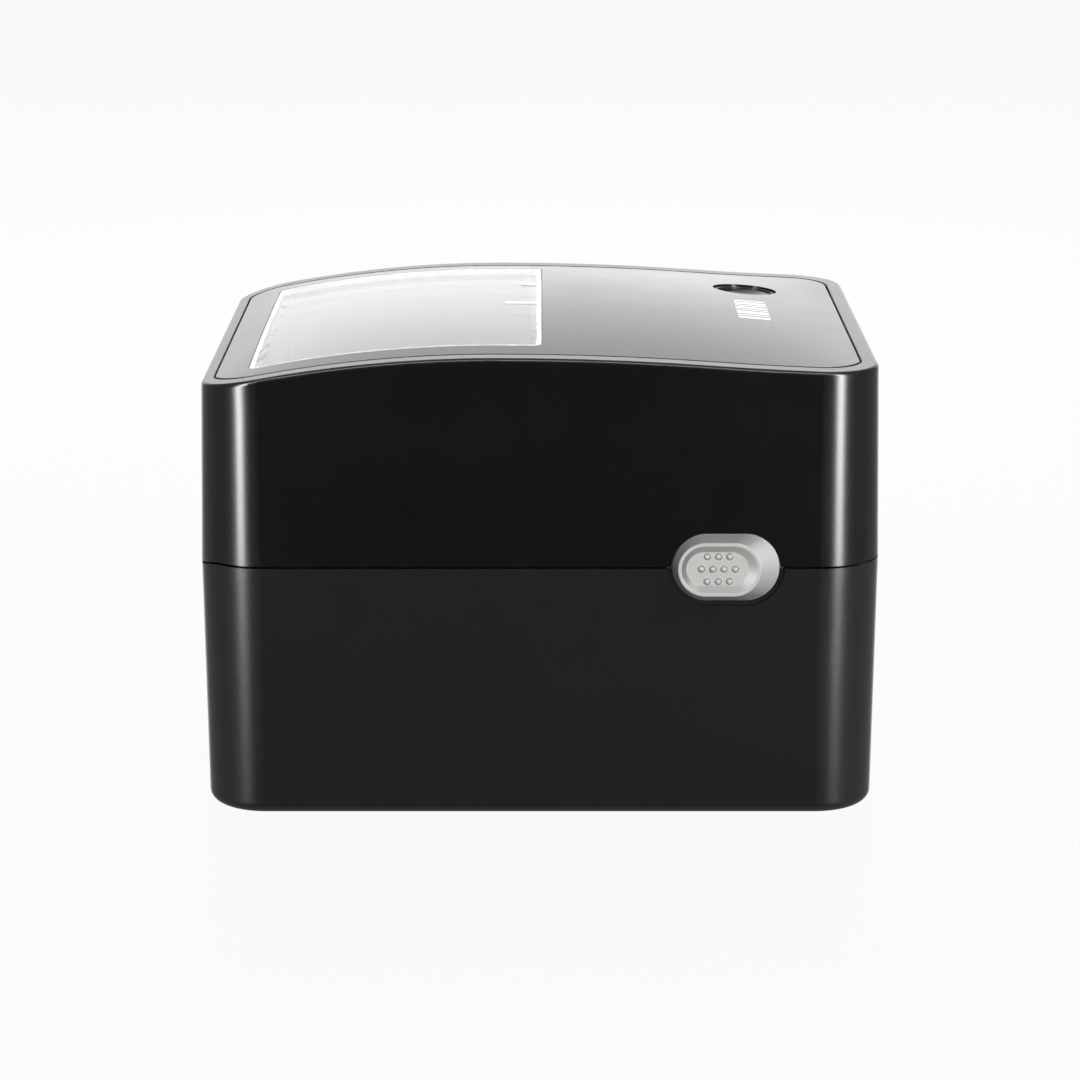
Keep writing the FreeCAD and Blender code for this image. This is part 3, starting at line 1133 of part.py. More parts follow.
def switch_housing():
    x0, x1 = SWITCH_X - SWITCH_HALF_W, SWITCH_X + SWITCH_HALF_W
    z0, z1 = SWITCH_Z - SWITCH_HALF_H, SWITCH_Z + SWITCH_HALF_H
    face_y = PORT_FACE_Y
    back_y = face_y - 15
    body = box(x0, x1, back_y, face_y, z0, z1)
    frame = box(x0 - 1.2, x1 + 1.2, face_y, face_y + 1.2, z0 - 1.2, z1 + 1.2)
    hollow = box(x0 + 1.2, x1 - 1.2, face_y - 8, face_y + 2, z0 + 1.2, z1 - 1.2)
    blades = [box(SWITCH_X + dx - 0.4, SWITCH_X + dx + 0.4, back_y - 6, back_y + 0.5,
                  SWITCH_Z - 2.4, SWITCH_Z + 2.4) for dx in (-5, 5)]
    housing = fuse(fuse(body, frame).cut(hollow), *blades)
    return housing.cut(rod_z(z0 + 0.4, z1 - 0.4, SWITCH_X, ROCKER_PIVOT_Y, ROCKER_PIN_R + RUN))


def power_rocker():
    """Rocker that tilts about a vertical axis; it stands in its off position."""
    half_h = SWITCH_HALF_H - 1.5
    top_y, dish_y, low_y = ROCKER_PIVOT_Y + 4.2, ROCKER_PIVOT_Y + 2.5, ROCKER_PIVOT_Y - 1.2
    points = ((-7.4, top_y), (0, dish_y), (7.4, top_y), (6.2, low_y), (-6.2, low_y))
    corners = [V(SWITCH_X + x, y, SWITCH_Z - half_h) for x, y in points]
    corners.append(corners[0])
    cap = Part.Face(Part.makePolygon(corners)).extrude(V(0, 0, 2 * half_h))
    pins = rod_z(SWITCH_Z - half_h - 0.8, SWITCH_Z + half_h + 0.8, SWITCH_X, ROCKER_PIVOT_Y, ROCKER_PIN_R)
    rocker = fuse(cap, pins)
    rocker.rotate(V(SWITCH_X, ROCKER_PIVOT_Y, 0), V(0, 0, 1), ROCKER_REST_DEG)
    return rocker


CABLE_R = 1.5
PLUG_X0, PLUG_X1, PLUG_Y0, PLUG_Y1 = 51.0, 56.5, 58.5, 63.5
CABLE_END_Z = BOARD_Z + BOARD_T + 2.6


def motor_cable():
    """Round cable from the motor plug back to the board."""
    plug_low_z = MOTOR_Z - MOTOR_R - 3
    end_y = (PLUG_Y0 + PLUG_Y1) / 2
    path = Part.BSplineCurve()
    path.interpolate([V(48, MOTOR_Y, plug_low_z), V(50, MOTOR_Y + 6, 11), V(62, -40, 8.5), V(71, 0, 8.5),
                      V(71, 40, 9.5), V(66, 58, CABLE_END_Z), V(PLUG_X1, end_y, CABLE_END_Z)])
    spine = Part.Wire(path.toShape())
    start = path.FirstParameter
    ring = Part.Wire(Part.makeCircle(CABLE_R, path.value(start), path.tangent(start)[0]))
    return spine.makePipeShell([ring], True, True)


def cable_plug():
    return box(PLUG_X0, PLUG_X1, PLUG_Y0, PLUG_Y1, BOARD_Z + BOARD_T, BOARD_Z + BOARD_T + 5)


RIBBON_W, RIBBON_T = 7.0, 0.4
RIBBON_X0 = -74.0                    # run along the lid and down behind the tray
RIBBON_LID_Z = 99.2                  # height of the run along the lid
RIBBON_DROP_Y = 94.6
RIBBON_LOW_Z = 15.4                  # height of the run to the board
RIBBON_TURN_R = 1.6
HEAD_SOCKET_X0, HEAD_SOCKET_Y0 = -57.2, 76.0


def ribbon_turn(y, z, z_side):
    """Quarter turn of the ribbon about an X axis at y, z, on its +Y side, above or below."""
    x1 = RIBBON_X0 + RIBBON_W
    ring = rod_x(RIBBON_X0, x1, y, z, RIBBON_TURN_R + RIBBON_T).cut(rod_x(RIBBON_X0, x1, y, z, RIBBON_TURN_R))
    reach = RIBBON_TURN_R + RIBBON_T
    z0, z1 = sorted((z, z + z_side * reach))
    return ring.common(box(RIBBON_X0, x1, y, y + reach, z0, z1))


def head_cable():
    """Flat cable from the head, along the lid, down past the hinge and forward to the board."""
    x0, x1 = RIBBON_X0, RIBBON_X0 + RIBBON_W
    t, r = RIBBON_T, RIBBON_TURN_R
    cross_z = RIBBON_LID_Z - t
    plug_x, plug_y = -4.0, -73.6
    stub = box(plug_x - RIBBON_W, plug_x, plug_y, plug_y + t, HEAD_Z1 + 1.5, cross_z + t)
    reach = box(plug_x - RIBBON_W, plug_x, plug_y, CABLE_CROSS_Y1, cross_z, cross_z + t)
    cross = box(x0, plug_x, CABLE_CROSS_Y0, CABLE_CROSS_Y1, cross_z, cross_z + t)
    along = box(x0, x1, CABLE_CROSS_Y0, RIBBON_DROP_Y - r, RIBBON_LID_Z, RIBBON_LID_Z + t)
    upper_turn = ribbon_turn(RIBBON_DROP_Y - r, RIBBON_LID_Z - r, 1)
    drop = box(x0, x1, RIBBON_DROP_Y, RIBBON_DROP_Y + t, RIBBON_LOW_Z + t + r, RIBBON_LID_Z - r)
    lower_turn = ribbon_turn(RIBBON_DROP_Y - r, RIBBON_LOW_Z + t + r, -1)
    low = box(x0, x1, HEAD_SOCKET_Y0 + 1, RIBBON_DROP_Y - r, RIBBON_LOW_Z, RIBBON_LOW_Z + t)
    last = box(x0, HEAD_SOCKET_X0, HEAD_SOCKET_Y0 + 1, HEAD_SOCKET_Y0 + 1 + RIBBON_W,
               RIBBON_LOW_Z - t, RIBBON_LOW_Z)
    return fuse(stub, reach, cross, along, upper_turn, drop, lower_turn, low, last)


def head_socket():
    body = box(HEAD_SOCKET_X0, HEAD_SOCKET_X0 + 4.2, HEAD_SOCKET_Y0, HEAD_SOCKET_Y0 + RIBBON_W + 2,
               BOARD_Z + BOARD_T, RIBBON_LOW_Z + 1.8)
    latch = box(HEAD_SOCKET_X0 + 0.6, HEAD_SOCKET_X0 + 1.8,
                HEAD_SOCKET_Y0 - 0.8, HEAD_SOCKET_Y0 + RIBBON_W + 2.8,
                RIBBON_LOW_Z + 0.8, RIBBON_LOW_Z + 2.4)
    return fuse(body, latch)


# ---------------------------------------------------------------- small parts
def rubber_feet():
    return Part.makeCompound([rod_z(0, FOOT_H + FOOT_RECESS, x, y, FOOT_R) for x, y in FOOT_SPOTS])


def tray_screws():
    """Front pair clamps the tear bar and tray; rear pair holds the tray's rear tabs."""
    seats = ((TRAY_FRONT_Y, DECK_Z1 + 0.8), (TRAY_REAR_Y, TRAY_TAB_Z1))
    return Part.makeCompound([screw(s * TRAY_SCREW_X, y, z, 9.0, PILOT_R, HEAD_R, 1.6)
                              for y, z in seats for s in (-1, 1)])


def liner_screws():
    return Part.makeCompound([screw(x, y, LINER_Z0, 10.0, PILOT_R, HEAD_R, 1.4, down=False)
                              for x, y in LINER_SPOTS])


def hinge_pins():
    return both_sides(rod_x(EAR_SPANS[0][0] - 0.4, EAR_SPANS[1][1] + 0.2, HINGE_Y, HINGE_Z, HINGE_PIN_R))


NODES = {
    "lower_case": lower_case(),
    "media_tray": media_tray(),
    "rubber_feet": rubber_feet(),
    "tray_screws": tray_screws(),
    "tear_bar": tear_bar(),
    "gap_sensor": gap_sensor(),
    "hinge_pins": hinge_pins(),
    "mainboard": mainboard(),
    "board_chips": board_chips(),
    "board_capacitors": board_capacitors(),
    "board_screws": board_screws(),
    "usb_socket": usb_socket(),
    "power_socket": power_socket(),
    "switch_housing": switch_housing(),
    "power_rocker": power_rocker(),
    "stepper_motor": stepper_motor(),
    "motor_shaft": motor_shaft(),
    "motor_pinion": motor_pinion(),
    "motor_cable": motor_cable(),
    "cable_plug": cable_plug(),
    "head_cable": head_cable(),
    "head_socket": head_socket(),
    "gear_plate": gear_plate(),
    "plate_screws": plate_screws(),
    "idler_pin": idler_pin(),
    "idler_gear": idler_gear(),
    "platen_gear": platen_gear(),
    "platen_shaft": platen_shaft(),
    "platen_rubber": platen_rubber(),
    "platen_bushes": platen_bushes(),
    "guide_left": guide_left(),
    "guide_right": guide_right(),
    "guide_pinion": guide_pinion(),
    "pinion_screw": pinion_screw(),
    "roll_hub_left": roll_hub(-1),
    "roll_hub_right": roll_hub(1),
    "release_button_left": release_button(-1),
    "release_button_right": release_button(1),
    "button_spring_left": button_spring(-1),
    "button_spring_right": button_spring(1),
    "latch_spring_left": latch_spring(-1),
    "latch_spring_right": latch_spring(1),
    "latch_screws": latch_screws(),
    "upper_case": fuse(upper_case(), *button_board_posts()),
    "top_panel": top_panel(),
    "window": window(),
    "lid_liner": lid_liner(),
    "liner_screws": liner_screws(),
    "feed_button": feed_button(),
    "feed_ring": feed_ring(),
    "button_board": button_board(),
    "tact_switch": tact_switch(),
    "button_board_screws": button_board_screws(),
    "head_heatsink": head_heatsink(),
    "head_ceramic": head_ceramic(),
    "head_connector": head_connector(),
    "head_axle": head_axle(),
    "head_springs": head_springs(),
}

for name, shape in NODES.items():
    shape.exportStep(f"parts/{name}.step")
    print(name, len(shape.Solids), round(shape.Volume / 1000, 3), shape.isValid())
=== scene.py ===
import json
import math

import bmesh
import bpy
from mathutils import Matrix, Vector
from mathutils.bvhtree import BVHTree


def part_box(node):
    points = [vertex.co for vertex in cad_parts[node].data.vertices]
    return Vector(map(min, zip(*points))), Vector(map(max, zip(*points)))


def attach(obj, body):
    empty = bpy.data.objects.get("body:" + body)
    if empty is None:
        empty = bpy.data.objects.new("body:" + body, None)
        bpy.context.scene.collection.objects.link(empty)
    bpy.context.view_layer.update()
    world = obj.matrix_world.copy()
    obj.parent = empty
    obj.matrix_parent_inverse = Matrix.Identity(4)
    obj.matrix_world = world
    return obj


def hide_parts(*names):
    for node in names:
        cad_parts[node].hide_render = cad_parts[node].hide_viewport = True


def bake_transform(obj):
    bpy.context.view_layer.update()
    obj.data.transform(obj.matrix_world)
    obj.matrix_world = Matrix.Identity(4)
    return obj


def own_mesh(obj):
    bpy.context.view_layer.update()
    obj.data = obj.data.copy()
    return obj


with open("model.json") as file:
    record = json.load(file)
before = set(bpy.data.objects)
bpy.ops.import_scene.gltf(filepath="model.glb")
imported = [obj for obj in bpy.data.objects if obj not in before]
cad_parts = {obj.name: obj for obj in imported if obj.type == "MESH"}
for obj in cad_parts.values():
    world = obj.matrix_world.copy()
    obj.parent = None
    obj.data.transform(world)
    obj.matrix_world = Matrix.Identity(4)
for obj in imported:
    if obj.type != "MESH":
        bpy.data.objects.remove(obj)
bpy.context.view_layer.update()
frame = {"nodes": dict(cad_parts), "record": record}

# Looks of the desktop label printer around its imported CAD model. Metres, row frame.
MM = 0.001
NODES = frame["nodes"]

# ---------------------------------------------------------------- camera and staging values
CAMERA_AT = Vector((-1.105, 0.0, 0.3556))
CAMERA_PITCH = math.radians(14.49)
CAMERA_LENS = 112.2
SENSOR = 36.0
BACKDROP = 0.965          # radiance that displays as studio white
FLOOR_GLOW = 0.945        # the floor's own light, so that it meets the backdrop without a line
FLOOR_HALF = 6.0

# ---------------------------------------------------------------- sizes of the pieces shaped here
COIL_FACES_AROUND, COIL_STEPS_PER_TURN, COIL_TURNS = 8, 20, 6
COIL_CLOSED_TURNS = 0.8   # turns that lie flat at each end
COIL_DRIFT = 0.9          # extra rise over a whole coil, in wire radii, which parts its flat turns
BUTTON_COIL_R, BUTTON_WIRE_R = 2.6 * MM, 0.3 * MM
HEAD_COIL_R, HEAD_WIRE_R = 3.2 * MM, 0.4 * MM
CABLE_FIXED_BELOW_HINGE, CABLE_TOP_SLACK, CABLE_SWEEP = 16 * MM, 2.6 * MM, 10 * MM
# the two moulded ribs on the window: X, start Y, half width and length
RIBS = ((-8.5 * MM, 0.2 * MM, 0.75 * MM, 11.2 * MM), (27.5 * MM, 0.2 * MM, 0.75 * MM, 6.2 * MM))
# on the print head's ceramic: the heater line's Y range, the Y where the gold tracks start, and the height
# below which only the ceramic's underside lies
HEATER_Y0, HEATER_Y1 = -86.8 * MM, -85.2 * MM
TRACKS_FROM_Y, HEAD_UNDERSIDE_BELOW = -84.8 * MM, 83.4 * MM
# printed bars: first X, Y range, then each bar's width and the gap after it in mm
MARK_X, MARK_Y0, MARK_Y1 = -14 * MM, -76.2 * MM, -65.4 * MM
MARK_BARS = ((3.4, 1.6), (1.7, 1.5), (4.4, 1.7), (1.7, 1.5), (3.0, 1.6), (1.7, 1.5), (4.0, 1.6), (2.2, 0))
MARK_WIDE = 3.2           # bars wider than this, in mm, have a middle row of points to follow the crown
MARK_ABOVE, MARK_BELOW = 0.03 * MM, 0.02 * MM


# ---------------------------------------------------------------- node helpers
class Shader:
    """Small helper that adds nodes to one material and links them."""

    def __init__(self, name):
        self.material = bpy.data.materials.new(name)
        self.material.use_nodes = True
        self.tree = self.material.node_tree
        self.tree.nodes.clear()
        self.output = self.tree.nodes.new("ShaderNodeOutputMaterial")
        coords = self.tree.nodes.new("ShaderNodeTexCoord")
        self.place = coords.outputs["Object"]
        self.own_normal = self.add("ShaderNodeSeparateXYZ", {0: coords.outputs["Normal"]}).outputs
        self.normal = self.add("ShaderNodeNewGeometry").outputs["Normal"]

    def add(self, kind, inputs=None, **settings):
        node = self.tree.nodes.new(kind)
        for key, value in settings.items():
            setattr(node, key, value)
        for key, value in (inputs or {}).items():
            socket = node.inputs[key]
            if isinstance(value, bpy.types.NodeSocket):
                self.tree.links.new(value, socket)
            else:
                socket.default_value = value
        return node

    def math(self, operation, a, b=0.0, clamp=False):
        node = self.add("ShaderNodeMath", {0: a, 1: b}, operation=operation, use_clamp=clamp)
        return node.outputs[0]

    def noise(self, scale, detail=2.0, rough=0.5, stretch=None, place=None):
        vector = place or self.place
        if stretch:
            vector = self.add("ShaderNodeMapping", {"Vector": vector, "Scale": stretch}).outputs[0]
        settings = {"Vector": vector, "Scale": scale, "Detail": detail, "Roughness": rough}
        return self.add("ShaderNodeTexNoise", settings).outputs["Fac"]

    def band(self, value, low, high, to_low=0.0, to_high=1.0):
        settings = {"Value": value, "From Min": low, "From Max": high, "To Min": to_low, "To Max": to_high}
        return self.add("ShaderNodeMapRange", settings, clamp=True).outputs[0]

    def blend(self, share, a, b):
        node = self.add("ShaderNodeMix", data_type="RGBA")
        for key, value in ((0, share), (6, a), (7, b)):
            socket = node.inputs[key]
            if isinstance(value, bpy.types.NodeSocket):
                self.tree.links.new(value, socket)
            else:
                socket.default_value = value
        return node.outputs[2]

    def edges(self, radius):
        """1 along sharp edges, within radius of them, and 0 on flats."""
        soft = self.add("ShaderNodeBevel", {"Radius": radius}, samples=4).outputs[0]
        dot = self.add("ShaderNodeVectorMath", {0: soft, 1: self.normal}, operation="DOT_PRODUCT")
        return self.band(dot.outputs["Value"], 0.995, 0.86)

    def bump(self, height, distance, soft=0.0):
        """Bump normal; soft above 0 also rounds the shading of sharp edges over that radius."""
        inputs = {"Height": height, "Distance": distance}
        if soft:
            inputs["Normal"] = self.add("ShaderNodeBevel", {"Radius": soft}, samples=4).outputs[0]
        return self.add("ShaderNodeBump", inputs).outputs[0]

    def principled(self, **inputs):
        named = {key.replace("_", " "): value for key, value in inputs.items()}
        shader = self.add("ShaderNodeBsdfPrincipled", named)
        self.finish(shader.outputs[0])
        return shader

    def finish(self, socket):
        self.tree.links.new(socket, self.output.inputs["Surface"])


def grey(value, warm=0.0):
    return (value * (1 + warm), value, value * (1 - warm), 1.0)


def moulded_plastic(name, color, rough, grain_mm=0.45, grain_depth=0.012, sheen_spread=0.03,
                    wear_and_edge_highlight=0.35, dust=0.25, cloud_share=0.12, soft_mm=0.3, painted_slope_shade=None):
    """Injection-moulded plastic: spark-eroded grain, uneven gloss, lighter edges and a little dust.

    Lighter edges are rubbed wear, and at high values a painted highlight; the slope colour is painted
    shade that darkens the faces that slope away from the sides of the printer."""
    s = Shader(name)
    grain = s.noise(1 / (grain_mm * MM), 3.0, 0.6)
    cells = s.add("ShaderNodeTexVoronoi", {"Vector": s.place, "Scale": 1 / (1.7 * grain_mm * MM)}).outputs[0]
    height = s.math("ADD", s.math("MULTIPLY", grain, 0.65), s.math("MULTIPLY", cells, 0.35))
    cloud = s.noise(38.0, 4.0, 0.62)
    smear = s.noise(12.0, 3.0, 0.55, stretch=(1.0, 0.35, 2.2))
    edge = s.edges(0.0007)
    scratch = s.noise(90.0, 1.0, 0.4, stretch=(0.25, 14.0, 3.0))
    scratch = s.band(scratch, 0.72, 0.76)
    up = s.add("ShaderNodeSeparateXYZ", {0: s.normal}).outputs[2]
    speck = s.band(s.noise(1500.0, 1.0, 0.5), 0.735, 0.765)
    speck = s.math("MULTIPLY", speck, s.band(up, 0.2, 0.9, 0.15, 1.0))
    uneven = s.math("ADD", s.math("MULTIPLY", cloud, 0.6), s.math("MULTIPLY", smear, 0.4))
    roughness = s.band(uneven, 0.3, 0.7, rough - sheen_spread, rough + sheen_spread)
    roughness = s.math("SUBTRACT", roughness, s.math("MULTIPLY", edge, 0.10 * wear_and_edge_highlight))
    roughness = s.math("ADD", roughness, s.math("MULTIPLY", speck, 0.25), clamp=True)
    lighter = tuple(min(1.0, c * 1.5 + 0.008) for c in color[:3]) + (1.0,)
    shade = s.blend(s.band(uneven, 0.3, 0.75, 0.0, cloud_share), color, lighter)
    # Painted shade: faces that turn away from the printer's side take a darker colour.
    if painted_slope_shade:
        sideways = s.math("ABSOLUTE", s.own_normal[0])
        shade = s.blend(s.band(sideways, 0.96, 0.80), shade, painted_slope_shade)
    # Lighter edges: rubbed wear, and at high values a painted highlight along the edges.
    shade = s.blend(s.math("MULTIPLY", edge, 0.4 * wear_and_edge_highlight, clamp=True), shade, lighter)
    shade = s.blend(s.math("MULTIPLY", speck, 0.20 * dust), shade, grey(0.45, 0.04))
    shade = s.blend(s.math("MULTIPLY", scratch, 0.03 * wear_and_edge_highlight), shade, grey(0.30))
    s.principled(Base_Color=shade, Roughness=roughness, Normal=s.bump(height, grain_depth * MM, soft_mm * MM))
    return s.material


def metal(name, color, rough, brush=None, brush_depth=0.004, stain=0.3, coat_tint=None):
    """Machined or plated metal: directional marks, stains and brighter worn edges."""
    s = Shader(name)
    lines = s.noise(260.0, 4.0, 0.7, stretch=brush or (1.0, 1.0, 1.0))
    patch = s.noise(55.0, 4.0, 0.6)
    edge = s.edges(0.0004)
    tint = coat_tint or tuple(c * 0.72 for c in color[:3]) + (1.0,)
    bright = tuple(min(1.0, c * 1.2) for c in color[:3]) + (1.0,)
    shade = s.blend(s.band(patch, 0.38, 0.72, 0.0, stain), color, tint)
    shade = s.blend(s.math("MULTIPLY", edge, 0.5), shade, bright)
    roughness = s.band(lines, 0.3, 0.7, rough - 0.07, rough + 0.10)
    roughness = s.math("ADD", roughness, s.band(patch, 0.55, 0.75, 0.0, 0.12))
    s.principled(Base_Color=shade, Metallic=1.0, Roughness=roughness,
                 Normal=s.bump(lines, brush_depth * MM, 0.15 * MM))
    return s.material


def rubber(name, color, rough=0.72, ribs=None):
    """Matte rubber with a fine grain and bloom."""
    s = Shader(name)
    grain = s.noise(2600.0, 3.0, 0.6)
    bloom = s.noise(60.0, 3.0, 0.6)
    shade = s.blend(s.band(bloom, 0.45, 0.75, 0.0, 0.35), color, grey(0.09, 0.03))
    height = grain
    if ribs:
        wave = s.add("ShaderNodeTexWave", {"Vector": s.place, "Scale": ribs}, bands_direction="X").outputs[1]
        height = s.math("ADD", grain, s.math("MULTIPLY", wave, 0.5))
    s.principled(Base_Color=shade, Roughness=s.band(bloom, 0.3, 0.7, rough - 0.08, rough + 0.1),
                 Specular_IOR_Level=0.35, Normal=s.bump(height, 0.02 * MM))
    return s.material


def circuit_board(name):
    """Green solder mask over routed copper, with bright pads and white position marks."""
    s = Shader(name)
    cell = {"Vector": s.place, "Scale": 330.0, "Randomness": 0.0}
    grid = s.add("ShaderNodeTexVoronoi", cell, distance="CHEBYCHEV").outputs[0]
    route = s.add("ShaderNodeTexBrick", {"Vector": s.place, "Scale": 42.0, "Mortar Size": 0.012,
                                         "Brick Width": 0.9, "Row Height": 0.11}).outputs["Fac"]
    pads = s.band(grid, 0.16, 0.13)
    choose = s.band(s.noise(70.0, 1.0), 0.55, 0.57)
    pads = s.math("MULTIPLY", pads, choose)
    mask = s.blend(s.band(route, 0.0, 1.0, 0.0, 0.8), (0.006, 0.075, 0.028, 1), (0.02, 0.17, 0.06, 1))
    shade = s.blend(pads, mask, (0.66, 0.64, 0.58, 1))
    s.principled(Base_Color=shade, Metallic=s.math("MULTIPLY", pads, 0.8),
                 Roughness=s.band(s.noise(400.0), 0.3, 0.7, 0.22, 0.36),
                 Normal=s.bump(route, 0.02 * MM))
    return s.material


def window_sheet(name, low, high):
    """Clear moulded sheet with frosted edges that glow as painted light: reflecting faces, a smoky tint and
    fine wiping marks.
    """
    s = Shader(name)
    fine = s.noise(2100.0, 2.0)
    wave = s.noise(26.0, 2.0)
    normal = s.bump(s.math("ADD", wave, s.math("MULTIPLY", fine, 0.01)), 0.03 * MM)
    haze = s.band(s.noise(34.0, 5.0, 0.6, stretch=(1.0, 0.4, 1.0)), 0.3, 0.75, 0.0, 0.02)
    speck = s.band(s.noise(620.0, 2.0), 0.735, 0.75)
    one_face = s.add("ShaderNodeFresnel", {"IOR": 1.5, "Normal": normal}).outputs[0]
    both_faces = s.math("DIVIDE", s.math("MULTIPLY", one_face, 2.0), s.math("ADD", one_face, 1.0))
    both_faces = s.math("MULTIPLY", both_faces, s.band(one_face, 0.30, 0.65, 0.67, 0.56))
    gloss = s.add("ShaderNodeBsdfGlossy", {
        "Color": (1, 1, 1, 1), "Roughness": s.band(wave, 0.3, 0.7, 0.02, 0.05), "Normal": normal}).outputs[0]
    through = s.add("ShaderNodeBsdfTransparent", {"Color": (0.80, 0.815, 0.82, 1)}).outputs[0]
    milk = s.add("ShaderNodeBsdfDiffuse", {"Color": (0.8, 0.81, 0.82, 1)}).outputs[0]
    body = s.add("ShaderNodeMixShader", {0: s.math("ADD", haze, s.math("MULTIPLY", speck, 0.4), clamp=True),
                                         1: through, 2: milk}).outputs[0]
    clear = s.add("ShaderNodeMixShader", {0: both_faces, 1: body, 2: gloss}).outputs[0]

    place = s.add("ShaderNodeSeparateXYZ", {0: s.place}).outputs
    centre_y, half_x, half_y = (low.y + high.y) / 2, high.x, (high.y - low.y) / 2
    off_x = s.math("ABSOLUTE", place[0])
    off_y = s.math("ABSOLUTE", s.math("SUBTRACT", place[1], centre_y))
    ragged = s.noise(240.0, 4.0, 0.7)
    band_y = s.band(ragged, 0.3, 0.7, 1.3 * MM, 1.9 * MM)
    band_x = s.band(ragged, 0.3, 0.7, 0.35 * MM, 1.1 * MM)
    near_y = s.band(s.math("SUBTRACT", s.math("ADD", off_y, band_y), half_y), -0.2 * MM, 0.2 * MM)
    near_x = s.band(s.math("SUBTRACT", s.math("ADD", off_x, band_x), half_x), -0.2 * MM, 0.2 * MM)
    for x, y, half_w, length in RIBS:
        from_middle = s.math("ABSOLUTE", s.math("SUBTRACT", place[1], y + length / 2))
        along = s.math("LESS_THAN", from_middle, length / 2)
        across = s.math("LESS_THAN", s.math("ABSOLUTE", s.math("SUBTRACT", place[0], x)), half_w)
        near_y = s.math("MAXIMUM", near_y, s.math("MULTIPLY", along, across))
    facing_up = s.math("ABSOLUTE", s.own_normal[2])
    on_side = s.math("LESS_THAN", facing_up, 0.80)
    outer_face = s.math("SUBTRACT", 1.0, s.add("ShaderNodeNewGeometry").outputs["Backfacing"])
    rim = s.math("MULTIPLY", s.math("MAXIMUM", near_x, near_y), outer_face)
    white = s.math("MAXIMUM", rim, on_side)
    bite = s.noise(900.0, 4.0, 0.65)
    tone = s.blend(s.band(bite, 0.35, 0.7), (0.93, 0.935, 0.94, 1), (0.66, 0.67, 0.68, 1))
    # Frosted edge: a whitish rough finish of its own, plus a weak white emission that is painted light.
    frost_and_glow = s.add("ShaderNodeBsdfPrincipled", {
        "Base Color": tone, "Roughness": s.band(bite, 0.3, 0.7, 0.3, 0.55),
        "Normal": s.bump(bite, 0.03 * MM),
        "Emission Color": (1, 1, 1, 1), "Emission Strength": 0.32}).outputs[0]
    share = s.math("MULTIPLY", white, s.band(bite, 0.25, 0.6, 1.0, 0.75))
    s.finish(s.add("ShaderNodeMixShader", {0: share, 1: clear, 2: frost_and_glow}).outputs[0])
    return s.material


def ceramic(name):
    """Glazed ceramic of the print head: a heater line and gold tracks on its underside."""
    s = Shader(name)
    place = s.add("ShaderNodeSeparateXYZ", {0: s.place})
    y, z = place.outputs[1], place.outputs[2]
    heater = s.math("MULTIPLY", s.math("GREATER_THAN", y, HEATER_Y0), s.math("LESS_THAN", y, HEATER_Y1))
    low = s.math("LESS_THAN", z, HEAD_UNDERSIDE_BELOW)
    tracks = s.add("ShaderNodeTexWave", {"Vector": s.place, "Scale": 420.0, "Distortion": 0.0},
                   bands_direction="X").outputs[1]
    tracks = s.math("MULTIPLY", s.band(tracks, 0.5, 0.6), s.math("GREATER_THAN", y, TRACKS_FROM_Y))
    shade = s.blend(s.math("MULTIPLY", tracks, low), grey(0.78, 0.03), (0.62, 0.45, 0.16, 1))
    shade = s.blend(s.math("MULTIPLY", heater, low), shade, (0.05, 0.035, 0.03, 1))
    s.principled(Base_Color=shade, Roughness=s.band(s.noise(300.0), 0.3, 0.7, 0.12, 0.26), Coat_Weight=0.4)
    return s.material


